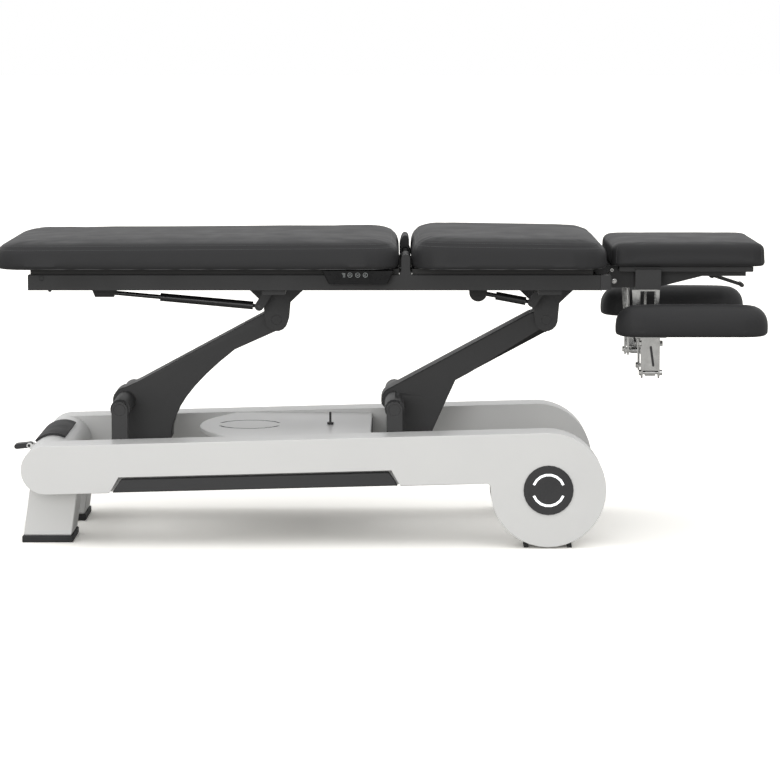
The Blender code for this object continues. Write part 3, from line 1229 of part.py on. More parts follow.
# Put it together: base
for side in SIDES:
    side_beam(side)
    pod_cap(side)
    light_ring(side)
    foot(side)
    foot_pad(side)
    pod_foot(side)
    for arm in ("left", "right"):
        pivot_ear(arm, side)
    bar_empty = joint_empty("foot_bar_%s_joint" % side, (PIVOT_X["left"], SIGN[side] * BEAM_OUTER, 0))
    carry(bar_empty, foot_bar(side))
end_tube()
end_pad()
cross_member()
deck_cover()
control_box()
pedal_x, pedal_z = pedal_pivot()
carry(joint_empty("foot_pedal_joint", (pedal_x, PEDAL_Y, pedal_z)), foot_pedal())
root_x, root_z = actuator_root()
lift_actuator()
carry(joint_empty("lift_rod_joint", (root_x, 0, root_z)), lift_rod())

# Put it together: lift and top frame
left_arm_empty = joint_empty("lift_arm_left_joint", (PIVOT_X["left"], 0, PIVOT_HEIGHT))
right_arm_empty = joint_empty("lift_arm_right_joint", (PIVOT_X["right"], 0, PIVOT_HEIGHT))
carry(left_arm_empty, lift_arm("left"))
carry(right_arm_empty, lift_arm("right"))
top_empty = joint_empty("top_frame_joint", (CLEVIS_X["left"], 0, CLEVIS_Z), left_arm_empty)
carry(top_empty, rail("near"), rail("far"), arm_crossbar("left"), arm_crossbar("right"), end_bar("foot"),
      keypad_housing(), gap_strip())
for index in range(3):
    x, z = button_centre(index)
    carry(joint_empty("keypad_button_%d_joint" % (index + 1), (x, keypad_faces()[0], z), top_empty),
          keypad_button(index))

# Put it together: leg and back sections
for section in ("leg", "back"):
    section_empty = joint_empty(section + "_section_joint", (HINGE_X, 0, HINGE_Z), top_empty)
    if section == "leg":
        pad_span = (FOOT_END_X, HINGE_X - SECTION_GAP / 2)
    else:
        pad_span = (HINGE_X + SECTION_GAP / 2, BACK_END_X)
    carry(section_empty, section_board(section), cushion(section, pad_span))
    if section == "back":
        carry(section_empty, end_bar("head"))
        back_empty = section_empty
    spring_root = spring_places(section)[0]
    barrel_empty = joint_empty(section + "_spring_joint", (spring_root[0], SPRING_Y, spring_root[1]), top_empty)
    push_empty = joint_empty(section + "_spring_rod_joint", barrel_empty.location, barrel_empty)
    barrel_piece, rod_piece = gas_spring(section)
    carry(barrel_empty, barrel_piece)
    carry(push_empty, rod_piece)

# Put it together: head section and armrests
head_empty = joint_empty("head_section_joint", (HEAD_HINGE_X, 0, BOARD_MIDDLE), back_empty)
carry(head_empty, head_frame(), cushion("head", (HEAD_END_X - HEAD_LENGTH, HEAD_END_X)))
lever_x, lever_z = lever_pivot()
carry(joint_empty("head_lever_joint", (lever_x, 0, lever_z), head_empty), head_lever())
for side in SIDES:
    carry(head_empty, armrest_hanger(side))
    level_pins = armrest_levels()[1]
    link_x = sum(bracket_x()) / 2
    for level in ("upper", "lower"):
        inner = level_pins[level][0]
        link_empty = joint_empty("armrest_%s_%s_joint" % (level, side), (link_x, SIGN[side] * inner[0], inner[1]),
                                 head_empty)
        carry(link_empty, armrest_link(side, level))
        if level == "upper":
            outer = level_pins[level][1]
            pad_empty = joint_empty("armrest_pad_%s_joint" % side, (link_x, SIGN[side] * outer[0], outer[1]),
                                    link_empty)
            carry(pad_empty, armrest_bracket(side), armrest_pad(side))
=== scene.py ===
import bmesh
import bpy
import json
import math
from mathutils import Matrix, Vector

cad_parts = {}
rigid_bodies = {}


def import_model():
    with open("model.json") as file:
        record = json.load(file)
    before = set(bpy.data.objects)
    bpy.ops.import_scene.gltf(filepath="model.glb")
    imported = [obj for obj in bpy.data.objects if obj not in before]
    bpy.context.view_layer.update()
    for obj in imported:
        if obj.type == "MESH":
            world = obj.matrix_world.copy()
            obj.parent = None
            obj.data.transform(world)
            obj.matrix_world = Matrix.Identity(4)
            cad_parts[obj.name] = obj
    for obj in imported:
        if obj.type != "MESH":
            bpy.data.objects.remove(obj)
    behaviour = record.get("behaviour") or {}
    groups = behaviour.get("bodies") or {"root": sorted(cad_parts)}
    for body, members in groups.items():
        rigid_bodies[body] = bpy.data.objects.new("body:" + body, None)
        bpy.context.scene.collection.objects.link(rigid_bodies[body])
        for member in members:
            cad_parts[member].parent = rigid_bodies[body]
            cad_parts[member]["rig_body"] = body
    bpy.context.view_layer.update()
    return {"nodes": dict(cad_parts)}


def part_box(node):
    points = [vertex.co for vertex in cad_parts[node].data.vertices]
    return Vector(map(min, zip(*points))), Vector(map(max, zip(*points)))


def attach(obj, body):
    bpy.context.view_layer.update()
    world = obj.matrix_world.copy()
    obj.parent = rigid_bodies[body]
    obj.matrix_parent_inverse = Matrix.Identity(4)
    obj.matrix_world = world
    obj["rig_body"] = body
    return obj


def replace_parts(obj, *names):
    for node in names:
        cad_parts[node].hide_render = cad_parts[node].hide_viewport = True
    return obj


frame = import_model()


# Side beams
# Two beams of pressed sheet steel, each with a round tail and a round pod, lacquered white.
# They are screwed to the tube, the cross member and the deck between them.
def linear(code):
    """Linear colour of an sRGB hex code."""
    parts = [int(code[place:place + 2], 16) / 255 for place in (1, 3, 5)]
    return tuple(part / 12.92 if part < 0.04 else ((part + 0.055) / 1.055) ** 2.4 for part in parts) + (1.0,)


def add(tree, kind, inputs=None, **settings):
    """Add a node with its settings; an input is a value or another node's output."""
    node = tree.nodes.new(kind)
    for name, value in settings.items():
        setattr(node, name, value)
    for name, value in (inputs or {}).items():
        if isinstance(value, bpy.types.NodeSocket):
            tree.links.new(value, node.inputs[name])
        else:
            node.inputs[name].default_value = value
    return node


def start_finish(name):
    """A new material with its shader and the piece's own coordinates."""
    material = bpy.data.materials.new(name)
    material.use_nodes = True
    tree = material.node_tree
    place = add(tree, "ShaderNodeTexCoord").outputs["Object"]
    return material, tree, tree.nodes["Principled BSDF"], place


def coat(name, dark, light, roughness, drift, patch_mm, grain_mm, depth_mm, mirror=0.5):
    """Paint or moulded skin: tone and gloss drift over patches, and a grain stands in the surface."""
    material, tree, shader, place = start_finish(name)
    patch = add(tree, "ShaderNodeTexNoise", {"Vector": place, "Scale": 1000 / patch_mm, "Detail": 5.0})
    tone = add(tree, "ShaderNodeMix", {0: patch.outputs["Fac"], 6: linear(dark), 7: linear(light)},
               data_type="RGBA")
    gloss = add(tree, "ShaderNodeMapRange", {"Value": patch.outputs["Fac"], "From Min": 0.3, "From Max": 0.7,
                                             "To Min": roughness - drift, "To Max": roughness + drift})
    grain = add(tree, "ShaderNodeTexNoise", {"Vector": place, "Scale": 1000 / grain_mm, "Detail": 2.0})
    relief = add(tree, "ShaderNodeBump", {"Height": grain.outputs["Fac"], "Strength": 0.6,
                                          "Distance": depth_mm / 1000})
    tree.links.new(tone.outputs[2], shader.inputs["Base Color"])
    tree.links.new(gloss.outputs["Result"], shader.inputs["Roughness"])
    tree.links.new(relief.outputs["Normal"], shader.inputs["Normal"])
    shader.inputs["Specular IOR Level"].default_value = mirror
    return material


def put(shape, name, material, body, smooth_angle=35):
    """Make a piece of a bmesh, smooth its round faces and let it ride on a body."""
    mesh = bpy.data.meshes.new(name)
    shape.to_mesh(mesh)
    shape.free()
    mesh.materials.append(material)
    mesh.shade_smooth()
    mesh.set_sharp_from_angle(angle=math.radians(smooth_angle))
    piece = bpy.data.objects.new(name, mesh)
    bpy.context.scene.collection.objects.link(piece)
    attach(piece, body)
    return piece


# Points closer than this are one point; flatter edges are dissolved, and sharper ones can be eased.
SAME_POINT = 0.00002
FLAT_WITHIN = math.radians(0.4)
SHARP_FROM = math.radians(38)


def merged(node):
    """A copy of a node's mesh with its doubled points joined."""
    shape = bmesh.new()
    shape.from_mesh(frame["nodes"][node].data)
    bmesh.ops.remove_doubles(shape, verts=shape.verts, dist=SAME_POINT)
    return shape


def skin(node, material, edge_mm=0.0, smooth_angle=35):
    """A merged copy of a node with smooth round faces and eased edges, which takes the node's place."""
    shape = merged(node)
    bmesh.ops.dissolve_limit(shape, angle_limit=FLAT_WITHIN, verts=shape.verts, edges=shape.edges)
    if edge_mm > 0:
        sharp = [edge for edge in shape.edges if edge.calc_face_angle(0.0) > SHARP_FROM]
        bmesh.ops.bevel(shape, geom=sharp, offset=edge_mm / 1000, offset_type="OFFSET", segments=2,
                        profile=0.5, affect="EDGES", material=-1, clamp_overlap=True)
    piece = put(shape, node + "_skin", material, frame["nodes"][node]["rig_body"], smooth_angle)
    even = piece.modifiers.new("even_faces", "WEIGHTED_NORMAL")
    even.keep_sharp = True
    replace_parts(piece, node)
    return piece


# Stoved lacquer on steel: a clean, slightly warm white, half gloss, with a faint orange peel.
white_lacquer = coat("white_stoved_lacquer", "#dcdcdb", "#e3e3e1", 0.36, 0.05, 260, 2.4, 0.03)
for side in ("near", "far"):
    skin("side_beam_" + side, white_lacquer)

# Foot bars
# A long switch bar of graphite ABS with a satin skin, in the slot at the lower edge of each beam.
# It hangs on springs in the slot and is pressed or lifted with the foot.
# Moulded ABS: dark graphite, with a fine spark-eroded grain that softens its shine.
bar_abs = coat("graphite_moulded_abs", "#2e2e2f", "#383839", 0.46, 0.08, 120, 0.9, 0.05, 0.4)
for side in ("near", "far"):
    skin("foot_bar_" + side, bar_abs, 0.6)

# Pod caps and light rings
# A round cap of graphite ABS snapped into each pod, and an opal ring behind it.
# Two arcs of the ring come through the cap and glow white while the table has power.
# Light guide of opal acrylic: even white glow with a slightly cooler, mottled tone.
opal_acrylic, opal_tree, opal_shader, opal_place = start_finish("opal_acrylic_light_guide")
mottle = add(opal_tree, "ShaderNodeTexNoise", {"Vector": opal_place, "Scale": 1000 / 9, "Detail": 3.0})
glow = add(opal_tree, "ShaderNodeMix", {0: mottle.outputs["Fac"], 6: linear("#eef4f6"), 7: linear("#ffffff")},
           data_type="RGBA")
opal_tree.links.new(glow.outputs[2], opal_shader.inputs["Base Color"])
opal_tree.links.new(glow.outputs[2], opal_shader.inputs["Emission Color"])
opal_shader.inputs["Emission Strength"].default_value = 1.0
opal_shader.inputs["Roughness"].default_value = 0.3
for side in ("near", "far"):
    skin("pod_cap_" + side, bar_abs, 0.8)
    skin("light_ring_" + side, opal_acrylic)

# End tube, step pad and pedal
# A white tube joins the beams at the foot end; a moulded rubber pad on it takes a knee or a foot.
# The pedal of black ABS turns on a pin between two lugs of the tube.
# Moulded rubber: matt black-grey with a slightly dusty tone and a coarse skin.
black_rubber = coat("black_moulded_rubber", "#262627", "#313132", 0.72, 0.08, 60, 1.4, 0.12)
# Moulded ABS of small parts: near black, with the same fine grain.
black_abs = coat("black_moulded_abs", "#1d1d1e", "#272728", 0.42, 0.08, 90, 0.9, 0.05)
skin("end_tube", white_lacquer)
skin("end_pad", black_rubber, 1.0)
skin("foot_pedal", black_abs, 1.0)

# Feet
# Two slanted feet of lacquered steel under the tube with rubber soles, and a rubber shoe under each pod.
# The soles are glued under the feet. Only the two ends of each shoe show, so its middle is left out.
SHOE_WIDTH = 0.012
for side in ("near", "far"):
    skin("foot_" + side, white_lacquer)
    skin("foot_pad_" + side, black_rubber, 1.2)
    low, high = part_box("pod_foot_" + side)
    middle = (low.x + high.x) / 2
    reach = (high.x - low.x) / 2 - SHOE_WIDTH
    shoes = merged("pod_foot_" + side)
    for out in (-1, 1):
        bmesh.ops.bisect_plane(shoes, geom=shoes.verts[:] + shoes.edges[:] + shoes.faces[:],
                               plane_co=(middle + out * reach, 0, 0), plane_no=(1, 0, 0))
    inside = [face for face in shoes.faces if abs(face.calc_center_median().x - middle) < reach]
    bmesh.ops.delete(shoes, geom=inside, context="FACES")
    bmesh.ops.holes_fill(shoes, edges=[edge for edge in shoes.edges if edge.is_boundary])
    bmesh.ops.recalc_face_normals(shoes, faces=shoes.faces)
    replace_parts(put(shoes, "pod_shoes_" + side, black_rubber, "base"), "pod_foot_" + side)

# Deck, cross member, drive and control box
# A moulded white deck closes the base between the beams; under it lie a steel cross member,
# the lift motor with its spindle and the box with the electronics.
# Powder coat on steel: dark graphite, matt, with a fine even orange peel.
graphite_coat = coat("graphite_powder_coat", "#363637", "#3e3e3e", 0.52, 0.07, 150, 1.6, 0.06, 0.3)
# Painted motor tube: plain black, a little glossier than the moulded parts. The deck's slot walls also take
# it, as painted shade.
black_paint_and_slot_shade = coat("black_gloss_paint_and_slot_shade", "#1a1a1b", "#222223", 0.3, 0.08, 80, 1.2, 0.03)
# Polished chrome on steel: bright, a little warm, with faint drawn streaks in its gloss.
polished_chrome, chrome_tree, chrome_shader, chrome_place = start_finish("polished_chrome")
streak = add(chrome_tree, "ShaderNodeTexNoise", {"Vector": chrome_place, "Scale": 1000 / 14, "Detail": 6.0})
chrome_tone = add(chrome_tree, "ShaderNodeMix", {0: streak.outputs["Fac"], 6: linear("#b4b4b4"),
                                                 7: linear("#d0d0ce")}, data_type="RGBA")
chrome_gloss = add(chrome_tree, "ShaderNodeMapRange", {"Value": streak.outputs["Fac"], "To Min": 0.12,
                                                       "To Max": 0.30})
chrome_tree.links.new(chrome_tone.outputs[2], chrome_shader.inputs["Base Color"])
chrome_tree.links.new(chrome_gloss.outputs["Result"], chrome_shader.inputs["Roughness"])
chrome_shader.inputs["Metallic"].default_value = 1.0
deck = skin("deck_cover", white_lacquer)
# The hook on the deck is black. The walls of its round slots are painted black as painted shade inside the
# slots.
SLOT_FROM_FOOT = 0.135
SLOT_RADIUS = (0.079, 0.091)
HOOK_FROM = 0.0005
LYING = 0.9
UPRIGHT = 0.5
deck.data.materials.append(black_paint_and_slot_shade)
lying = [face for face in deck.data.polygons if face.normal.z > LYING]
level = max(lying, key=lambda face: face.area).center.z
slot_middle = Vector((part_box("deck_cover")[0].x + SLOT_FROM_FOOT, 0))
for face in deck.data.polygons:
    apart = (face.center.xy - slot_middle).length
    # Faces on the slot walls get the black paint as painted shade; the hook's faces get it as the hook's own
    # colour.
    slot_wall_shade = abs(face.normal.z) < UPRIGHT and SLOT_RADIUS[0] < apart < SLOT_RADIUS[1]
    on_hook = face.center.z > level + HOOK_FROM
    face.material_index = 1 if slot_wall_shade or on_hook else 0
skin("cross_member", graphite_coat)
skin("control_box", black_abs)
skin("lift_actuator", black_paint_and_slot_shade)
skin("lift_rod", polished_chrome, 0.5)

# Pivot ears and lift arms
# Ears of thick steel plate stand on the beams and carry the arms' trunnions.
# The arms are welded box sections with a curved gusset, powder coated graphite.
for arm in ("left", "right"):
    for side in ("near", "far"):
        skin("pivot_ear_%s_%s" % (arm, side), graphite_coat, 1.0)
    skin("lift_arm_" + arm, graphite_coat)

# Top frame
# Two rectangular steel rails, the crossbars with the clevises for the arms, and the end bars,
# welded and powder coated. The slim gas springs under them lift the sections.
# Rail paint: the same graphite, a little smoother, made darker as painted shade from the cushions' overhang.
shaded_rail_coat = coat("dark_graphite_rail_coat", "#2c2c2d", "#333333", 0.5, 0.07, 150, 1.6, 0.05, 0.3)
for side in ("near", "far"):
    skin("rail_" + side, shaded_rail_coat, 0.8)
for node in ("arm_crossbar_left", "arm_crossbar_right", "end_bar_foot", "end_bar_head"):
    skin(node, graphite_coat, 0.8)
# Nitrided rod: black with a soft metal shine.
black_nitride = coat("black_nitrided_steel", "#161617", "#212122", 0.24, 0.06, 25, 0.8, 0.01)
for section in ("leg", "back"):
    skin(section + "_spring_barrel", black_paint_and_slot_shade)
    skin(section + "_spring_rod", black_nitride)


def turned(name, profile, place, along, material, body):
    """A round piece turned about the axis along: the profile gives radius and height of each step."""
    shape = bmesh.new()
    points = [shape.verts.new((radius, 0, height)) for radius, height in profile]
    edges = [shape.edges.new(pair) for pair in zip(points, points[1:])]
    bmesh.ops.spin(shape, geom=points + edges, cent=(0, 0, 0), axis=(0, 0, 1), angle=math.tau, steps=24,
                   use_merge=True)
    bmesh.ops.remove_doubles(shape, verts=shape.verts, dist=0.00001)
    bmesh.ops.recalc_face_normals(shape, faces=shape.faces)
    turn = Vector((0, 0, 1)).rotation_difference(Vector(along)).to_matrix()
    bmesh.ops.rotate(shape, cent=(0, 0, 0), matrix=turn, verts=shape.verts)
    bmesh.ops.translate(shape, vec=place, verts=shape.verts)
    return put(shape, name, material, body)


def rail_edges(side):
    """Lowest and highest corner of a rail, and the Y of its outer face."""
    low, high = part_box("rail_" + side)
    return low, high, low.y if side == "near" else high.y


# The plug closes the rail's mounting hole, and the screw under it holds the end bar.
SIDES = (("near", -1), ("far", 1))
RAIL_SIZE = (0.030, 0.040)
PLUG = ((0.0, -0.0030), (0.0046, -0.0030), (0.0052, 0.0004), (0.0062, 0.0009), (0.0068, 0.0004),
        (0.0068, -0.0004), (0.0052, -0.0004), (0.0046, -0.0040), (0.0, -0.0040))
SCREW = ((0.0, 0.0052), (0.0026, 0.0050), (0.0043, 0.0036), (0.0046, 0.0010), (0.0046, -0.0005),
         (0.0, -0.0005))
PLUG_FROM_FOOT = 0.0362
PLUG_UP = 0.0316
SCREW_FROM_FOOT = 0.0557
for side, out in SIDES:
    low, _, outer = rail_edges(side)
    place = (low.x + PLUG_FROM_FOOT, outer, low.z + PLUG_UP)
    plug = turned("rail_plug_" + side, PLUG, place, (0, out, 0), black_abs, "top_frame")
    place = (low.x + SCREW_FROM_FOOT, outer - out * RAIL_SIZE[0] / 2, low.z)
    screw = turned("rail_screw_" + side, SCREW, place, (0, 0, -1), black_nitride, "top_frame")

# A moulded cap with a lip closes the head end of each rail.
CAP_LENGTH = 0.029
CAP_LIP = 0.0030
LIP_OVER = 0.0006
CAP_UNDER = 0.0004
CAP_SEAT = 0.0003
CAP_ROUND = 0.005
NEAR_TIP = 0.001
for side, out in SIDES:
    low, high, outer = rail_edges(side)
    cap = bmesh.new()
    for length, over in ((CAP_LIP, LIP_OVER), (CAP_LENGTH, -CAP_UNDER)):
        block = bmesh.ops.create_cube(cap, size=1.0)["verts"]
        bmesh.ops.scale(cap, vec=(length, RAIL_SIZE[0] + 2 * over, RAIL_SIZE[1] + 2 * over), verts=block)
        place = (high.x + length / 2 + CAP_SEAT, outer - out * RAIL_SIZE[0] / 2, low.z + RAIL_SIZE[1] / 2)
        bmesh.ops.translate(cap, vec=place, verts=block)
    tip = high.x + CAP_LENGTH
    rim = [edge for edge in cap.edges if all(vert.co.x > tip - NEAR_TIP for vert in edge.verts)]
    bmesh.ops.bevel(cap, geom=rim, offset=CAP_ROUND, offset_type="OFFSET", segments=4, profile=0.5,
                    affect="EDGES", material=-1)
    put(cap, "rail_end_cap_" + side, bar_abs, "top_frame")

# A weld bead fills the corner on either side of each rail's hinge ear.
# It is guessed from the solid, dark foot that the photo shows there.
EAR_MIDDLE = 0.0620
EAR_HALF = 0.0115
BEAD = (0.0048, 0.0280, 0.0100)
QUARTER_TURN = Matrix.Rotation(math.pi / 2, 3, "X")
for side, out in SIDES:
    low, _, outer = rail_edges(side)
    beads = bmesh.new()
    for hand in (-1, 1):
        bead = bmesh.ops.create_cone(beads, cap_ends=True, segments=32, radius1=1, radius2=1,
                                     depth=1)["verts"]
        bmesh.ops.rotate(beads, cent=(0, 0, 0), matrix=QUARTER_TURN, verts=bead)
        bmesh.ops.scale(beads, vec=BEAD, verts=bead)
        place = (EAR_MIDDLE + hand * EAR_HALF, outer - out * RAIL_SIZE[0] / 2, low.z + RAIL_SIZE[1])
        bmesh.ops.translate(beads, vec=place, verts=bead)
    # The beads take the rails' coat, whose darker tone is painted shade.
    put(beads, "hinge_ear_weld_" + side, shaded_rail_coat, "top_frame")

# Keypad
# A moulded housing screwed under the cushion's edge, with three round buttons.
# Each button carries a printed ring and a plain arrow, and bars are printed beside them.
# Polished ABS: black and glossy with faint handling marks.
gloss_abs = coat("black_polished_abs", "#0f0f10", "#171718", 0.30, 0.06, 18, 0.9, 0.01, 0.14)
skin("keypad_housing", gloss_abs, 0.5)
# Screen print on plastic: light grey ink, a little uneven where it is worn.
print_ink = coat("grey_screen_print", "#7e8282", "#9ca0a0", 0.6, 0.1, 3, 0.5, 0.01)
INK_DEPTH = 0.0002
RING_SHARE = 0.98
RING_WIDTH = 0.0013
ARROW_LENGTH = 0.8
ARROW_RISE = 0.3
ARROW_TURN = {1: 0, 2: 180, 3: 90}


def printed(shape, name, place, body):
    """Give flat signs the ink's thickness, stand them upright and lay them on the keypad."""
    bmesh.ops.solidify(shape, geom=shape.faces, thickness=INK_DEPTH)
    bmesh.ops.rotate(shape, cent=(0, 0, 0), matrix=QUARTER_TURN, verts=shape.verts)
    bmesh.ops.translate(shape, vec=place, verts=shape.verts)
    bmesh.ops.recalc_face_normals(shape, faces=shape.faces)
    put(shape, name, print_ink, body)


for index in (1, 2, 3):
    node = "keypad_button_%d" % index
    skin(node, gloss_abs)
    low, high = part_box(node)
    middle = (low + high) / 2
    radius = (high.x - low.x) / 2 * RING_SHARE
    sign = bmesh.new()
    bmesh.ops.create_circle(sign, cap_ends=True, segments=32, radius=radius)
    disc = list(sign.faces)
    bmesh.ops.inset_individual(sign, faces=disc, thickness=RING_WIDTH, use_even_offset=True)
    bmesh.ops.delete(sign, geom=disc, context="FACES")
    strokes = []
    for lean in (-45, 45):
        stroke = bmesh.ops.create_grid(sign, x_segments=1, y_segments=1, size=0.5)["verts"]
        bmesh.ops.scale(sign, vec=(RING_WIDTH, radius * ARROW_LENGTH, 1), verts=stroke)
        bmesh.ops.translate(sign, vec=(0, -radius * ARROW_LENGTH / 2, 0), verts=stroke)
        slant = Matrix.Rotation(math.radians(lean), 3, "Z")
        bmesh.ops.rotate(sign, cent=(0, 0, 0), matrix=slant, verts=stroke)
        bmesh.ops.translate(sign, vec=(0, radius * ARROW_RISE, 0), verts=stroke)
        strokes += stroke
    turn = Matrix.Rotation(math.radians(ARROW_TURN[index]), 3, "Z")
    bmesh.ops.rotate(sign, cent=(0, 0, 0), matrix=turn, verts=strokes)
    printed(sign, "keypad_sign_%d" % index, (middle.x, low.y - INK_DEPTH / 2, middle.z),
            frame["nodes"][node]["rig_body"])

# Four bars lie beside the first button; each row gives a bar's height on the housing and its length.
BARS_FROM_BUTTON = 0.0165
BAR_THICK = 0.0016
BAR_ROWS = ((0.0042, 0.0085), (0.0012, 0.0075), (-0.0020, 0.0060), (-0.0050, 0.0060))
longest = BAR_ROWS[0][1]
bars = bmesh.new()
first_low, first_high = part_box("keypad_button_1")
first = (first_low + first_high) / 2
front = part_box("keypad_housing")[0].y
for row, length in BAR_ROWS:
    bar = bmesh.ops.create_grid(bars, x_segments=1, y_segments=1, size=0.5)["verts"]
    bmesh.ops.scale(bars, vec=(length, BAR_THICK, 1), verts=bar)
    bmesh.ops.translate(bars, vec=(first.x - BARS_FROM_BUTTON + (longest - length) / 2, row, 0), verts=bar)
printed(bars, "keypad_bars", (0, front - INK_DEPTH / 2, first.z), "top_frame")

# Boards
# Birch plywood under each cushion, screwed to steel hinge knuckles; its near-black tone is partly a dark
# stain and partly painted shade of the gap under the cushion.
# Plywood: black-brown face, partly stain and partly painted shade, with a soft grain and slightly paler ply
# lines at its edges.
ply_stain_and_shade, ply_tree, ply_shader, ply_place = start_finish("plywood_stain_and_painted_shade")
# The wave texture turns 20 radians in a unit, so this step gives layers about 10 mm thick.
LAYER_STEP_MM = 1.6
WAVE_RADIANS = 20
GRAIN_MM = 40
stretch = add(ply_tree, "ShaderNodeMapping", {"Vector": ply_place, "Scale": (1.0, 9.0, 1.0)})
wood = add(ply_tree, "ShaderNodeTexNoise", {"Vector": stretch.outputs["Vector"], "Scale": 1000 / GRAIN_MM,
                                            "Detail": 8.0})
layers = add(ply_tree, "ShaderNodeTexWave", {"Vector": ply_place,
                                             "Scale": 1000 / LAYER_STEP_MM / WAVE_RADIANS},
             bands_direction="Z")
blend = add(ply_tree, "ShaderNodeMath", {0: wood.outputs["Fac"], 1: layers.outputs["Fac"]},
            operation="MULTIPLY")
ply_tone = add(ply_tree, "ShaderNodeMix", {0: blend.outputs["Value"], 6: linear("#181817"),
                                           7: linear("#2b2927")}, data_type="RGBA")
ply_relief = add(ply_tree, "ShaderNodeBump", {"Height": wood.outputs["Fac"], "Strength": 0.4,
                                              "Distance": 0.0003})
ply_tree.links.new(ply_tone.outputs[2], ply_shader.inputs["Base Color"])
ply_tree.links.new(ply_relief.outputs["Normal"], ply_shader.inputs["Normal"])
ply_shader.inputs["Roughness"].default_value = 0.6
for section in ("leg", "back"):
    skin(section + "_board", ply_stain_and_shade)


# Leg and back cushions
# Firm foam with a sewn cover of anthracite leatherette, stapled under the board.
# The cover is stretched over round shoulders, so it crowns a little and its sides draw in.
def leatherette(name, dark, light, roughness):
    """Embossed vinyl: small rounded cells, gentle slack waves, and gloss that drifts with handling."""
    CELL_MM = 2.6
    WAVE_MM = 70
    material, tree, shader, place = start_finish(name)
    cells = add(tree, "ShaderNodeTexVoronoi", {"Vector": place, "Scale": 1000 / CELL_MM}, feature="SMOOTH_F1")
    waves = add(tree, "ShaderNodeTexNoise", {"Vector": place, "Scale": 1000 / WAVE_MM, "Detail": 3.0})
    tone = add(tree, "ShaderNodeMix", {0: waves.outputs["Fac"], 6: linear(dark), 7: linear(light)},
               data_type="RGBA")
    gloss = add(tree, "ShaderNodeMapRange", {"Value": waves.outputs["Fac"], "From Min": 0.3, "From Max": 0.7,
                                             "To Min": roughness - 0.05, "To Max": roughness + 0.05})
    slack = add(tree, "ShaderNodeBump", {"Height": waves.outputs["Fac"], "Strength": 0.25, "Distance": 0.003})
    relief = add(tree, "ShaderNodeBump", {"Height": cells.outputs["Distance"], "Strength": 0.35,
                                          "Distance": 0.0004, "Normal": slack.outputs["Normal"]}, invert=True)
    tree.links.new(tone.outputs[2], shader.inputs["Base Color"])
    tree.links.new(gloss.outputs["Result"], shader.inputs["Roughness"])
    tree.links.new(relief.outputs["Normal"], shader.inputs["Normal"])
    shader.inputs["Specular IOR Level"].default_value = 0.2
    return material


# Embossed vinyl on knit backing: anthracite, satin, lighter where it mirrors the room at a low angle.
anthracite_vinyl = leatherette("anthracite_embossed_vinyl", "#2a2a2b", "#303031", 0.55)
# Bonded polyester thread: grey, a shade lighter than the vinyl, with a soft shine.
grey_thread = coat("grey_polyester_thread", "#444445", "#565657", 0.55, 0.1, 6, 0.4, 0.05)


SMOOTH_PASSES = 4
CLOTH_PRESSURE = 4.0
CLOTH_FRAMES = 20


def remeshed(piece, voxel):
    """Give a piece an even mesh of small squares, with the facets smoothed out."""
    grid = piece.modifiers.new("grid", "REMESH")
    grid.mode = "VOXEL"
    grid.voxel_size = voxel
    result = piece.evaluated_get(bpy.context.evaluated_depsgraph_get())
    mesh = bpy.data.meshes.new_from_object(result)
    piece.modifiers.remove(grid)
    shape = bmesh.new()
    shape.from_mesh(mesh)
    for _ in range(SMOOTH_PASSES):
        bmesh.ops.smooth_vert(shape, verts=shape.verts, factor=0.5, use_axis_x=True, use_axis_y=True,
                              use_axis_z=True)
    shape.to_mesh(mesh)
    shape.free()
    mesh.name = piece.name
    piece.data = mesh
    mesh.shade_smooth()


def settle(piece, held, cap):
    """Let the cover swell as cloth over the foam; a point moves less than cap, and held points stay."""
    mesh = piece.data
    group = piece.vertex_groups.new(name="held")
    group.add([vert.index for vert in mesh.vertices if held(vert.co)], 1.0, "REPLACE")
    begin = [vert.co.copy() for vert in mesh.vertices]
    cloth = piece.modifiers.new("cover", "CLOTH")
    cloth.settings.vertex_group_mass = "held"
    cloth.settings.use_pressure = True
    cloth.settings.uniform_pressure_force = CLOTH_PRESSURE
    cloth.settings.effector_weights.gravity = 0.0
    cloth.collision_settings.use_collision = False
    cloth.point_cache.frame_start = 1
    cloth.point_cache.frame_end = CLOTH_FRAMES
    for step in range(1, CLOTH_FRAMES + 1):
        bpy.context.scene.frame_set(step)
    result = piece.evaluated_get(bpy.context.evaluated_depsgraph_get())
    ends = [vert.co.copy() for vert in result.data.vertices]
    piece.modifiers.remove(cloth)
    piece.vertex_groups.clear()
    for vert, start, end in zip(mesh.vertices, begin, ends):
        move = end - start
        vert.co = start + move / (1 + move.length / cap)
    bpy.context.scene.frame_set(1)


def crease(piece, point, normal, depth, reach):
    """Draw a seam into the cover: points near its plane move inwards."""
    for vert in piece.data.vertices:
        near = 1 - abs((vert.co - point).dot(normal)) / reach
        if near > 0:
            vert.co -= vert.normal * depth * near * near


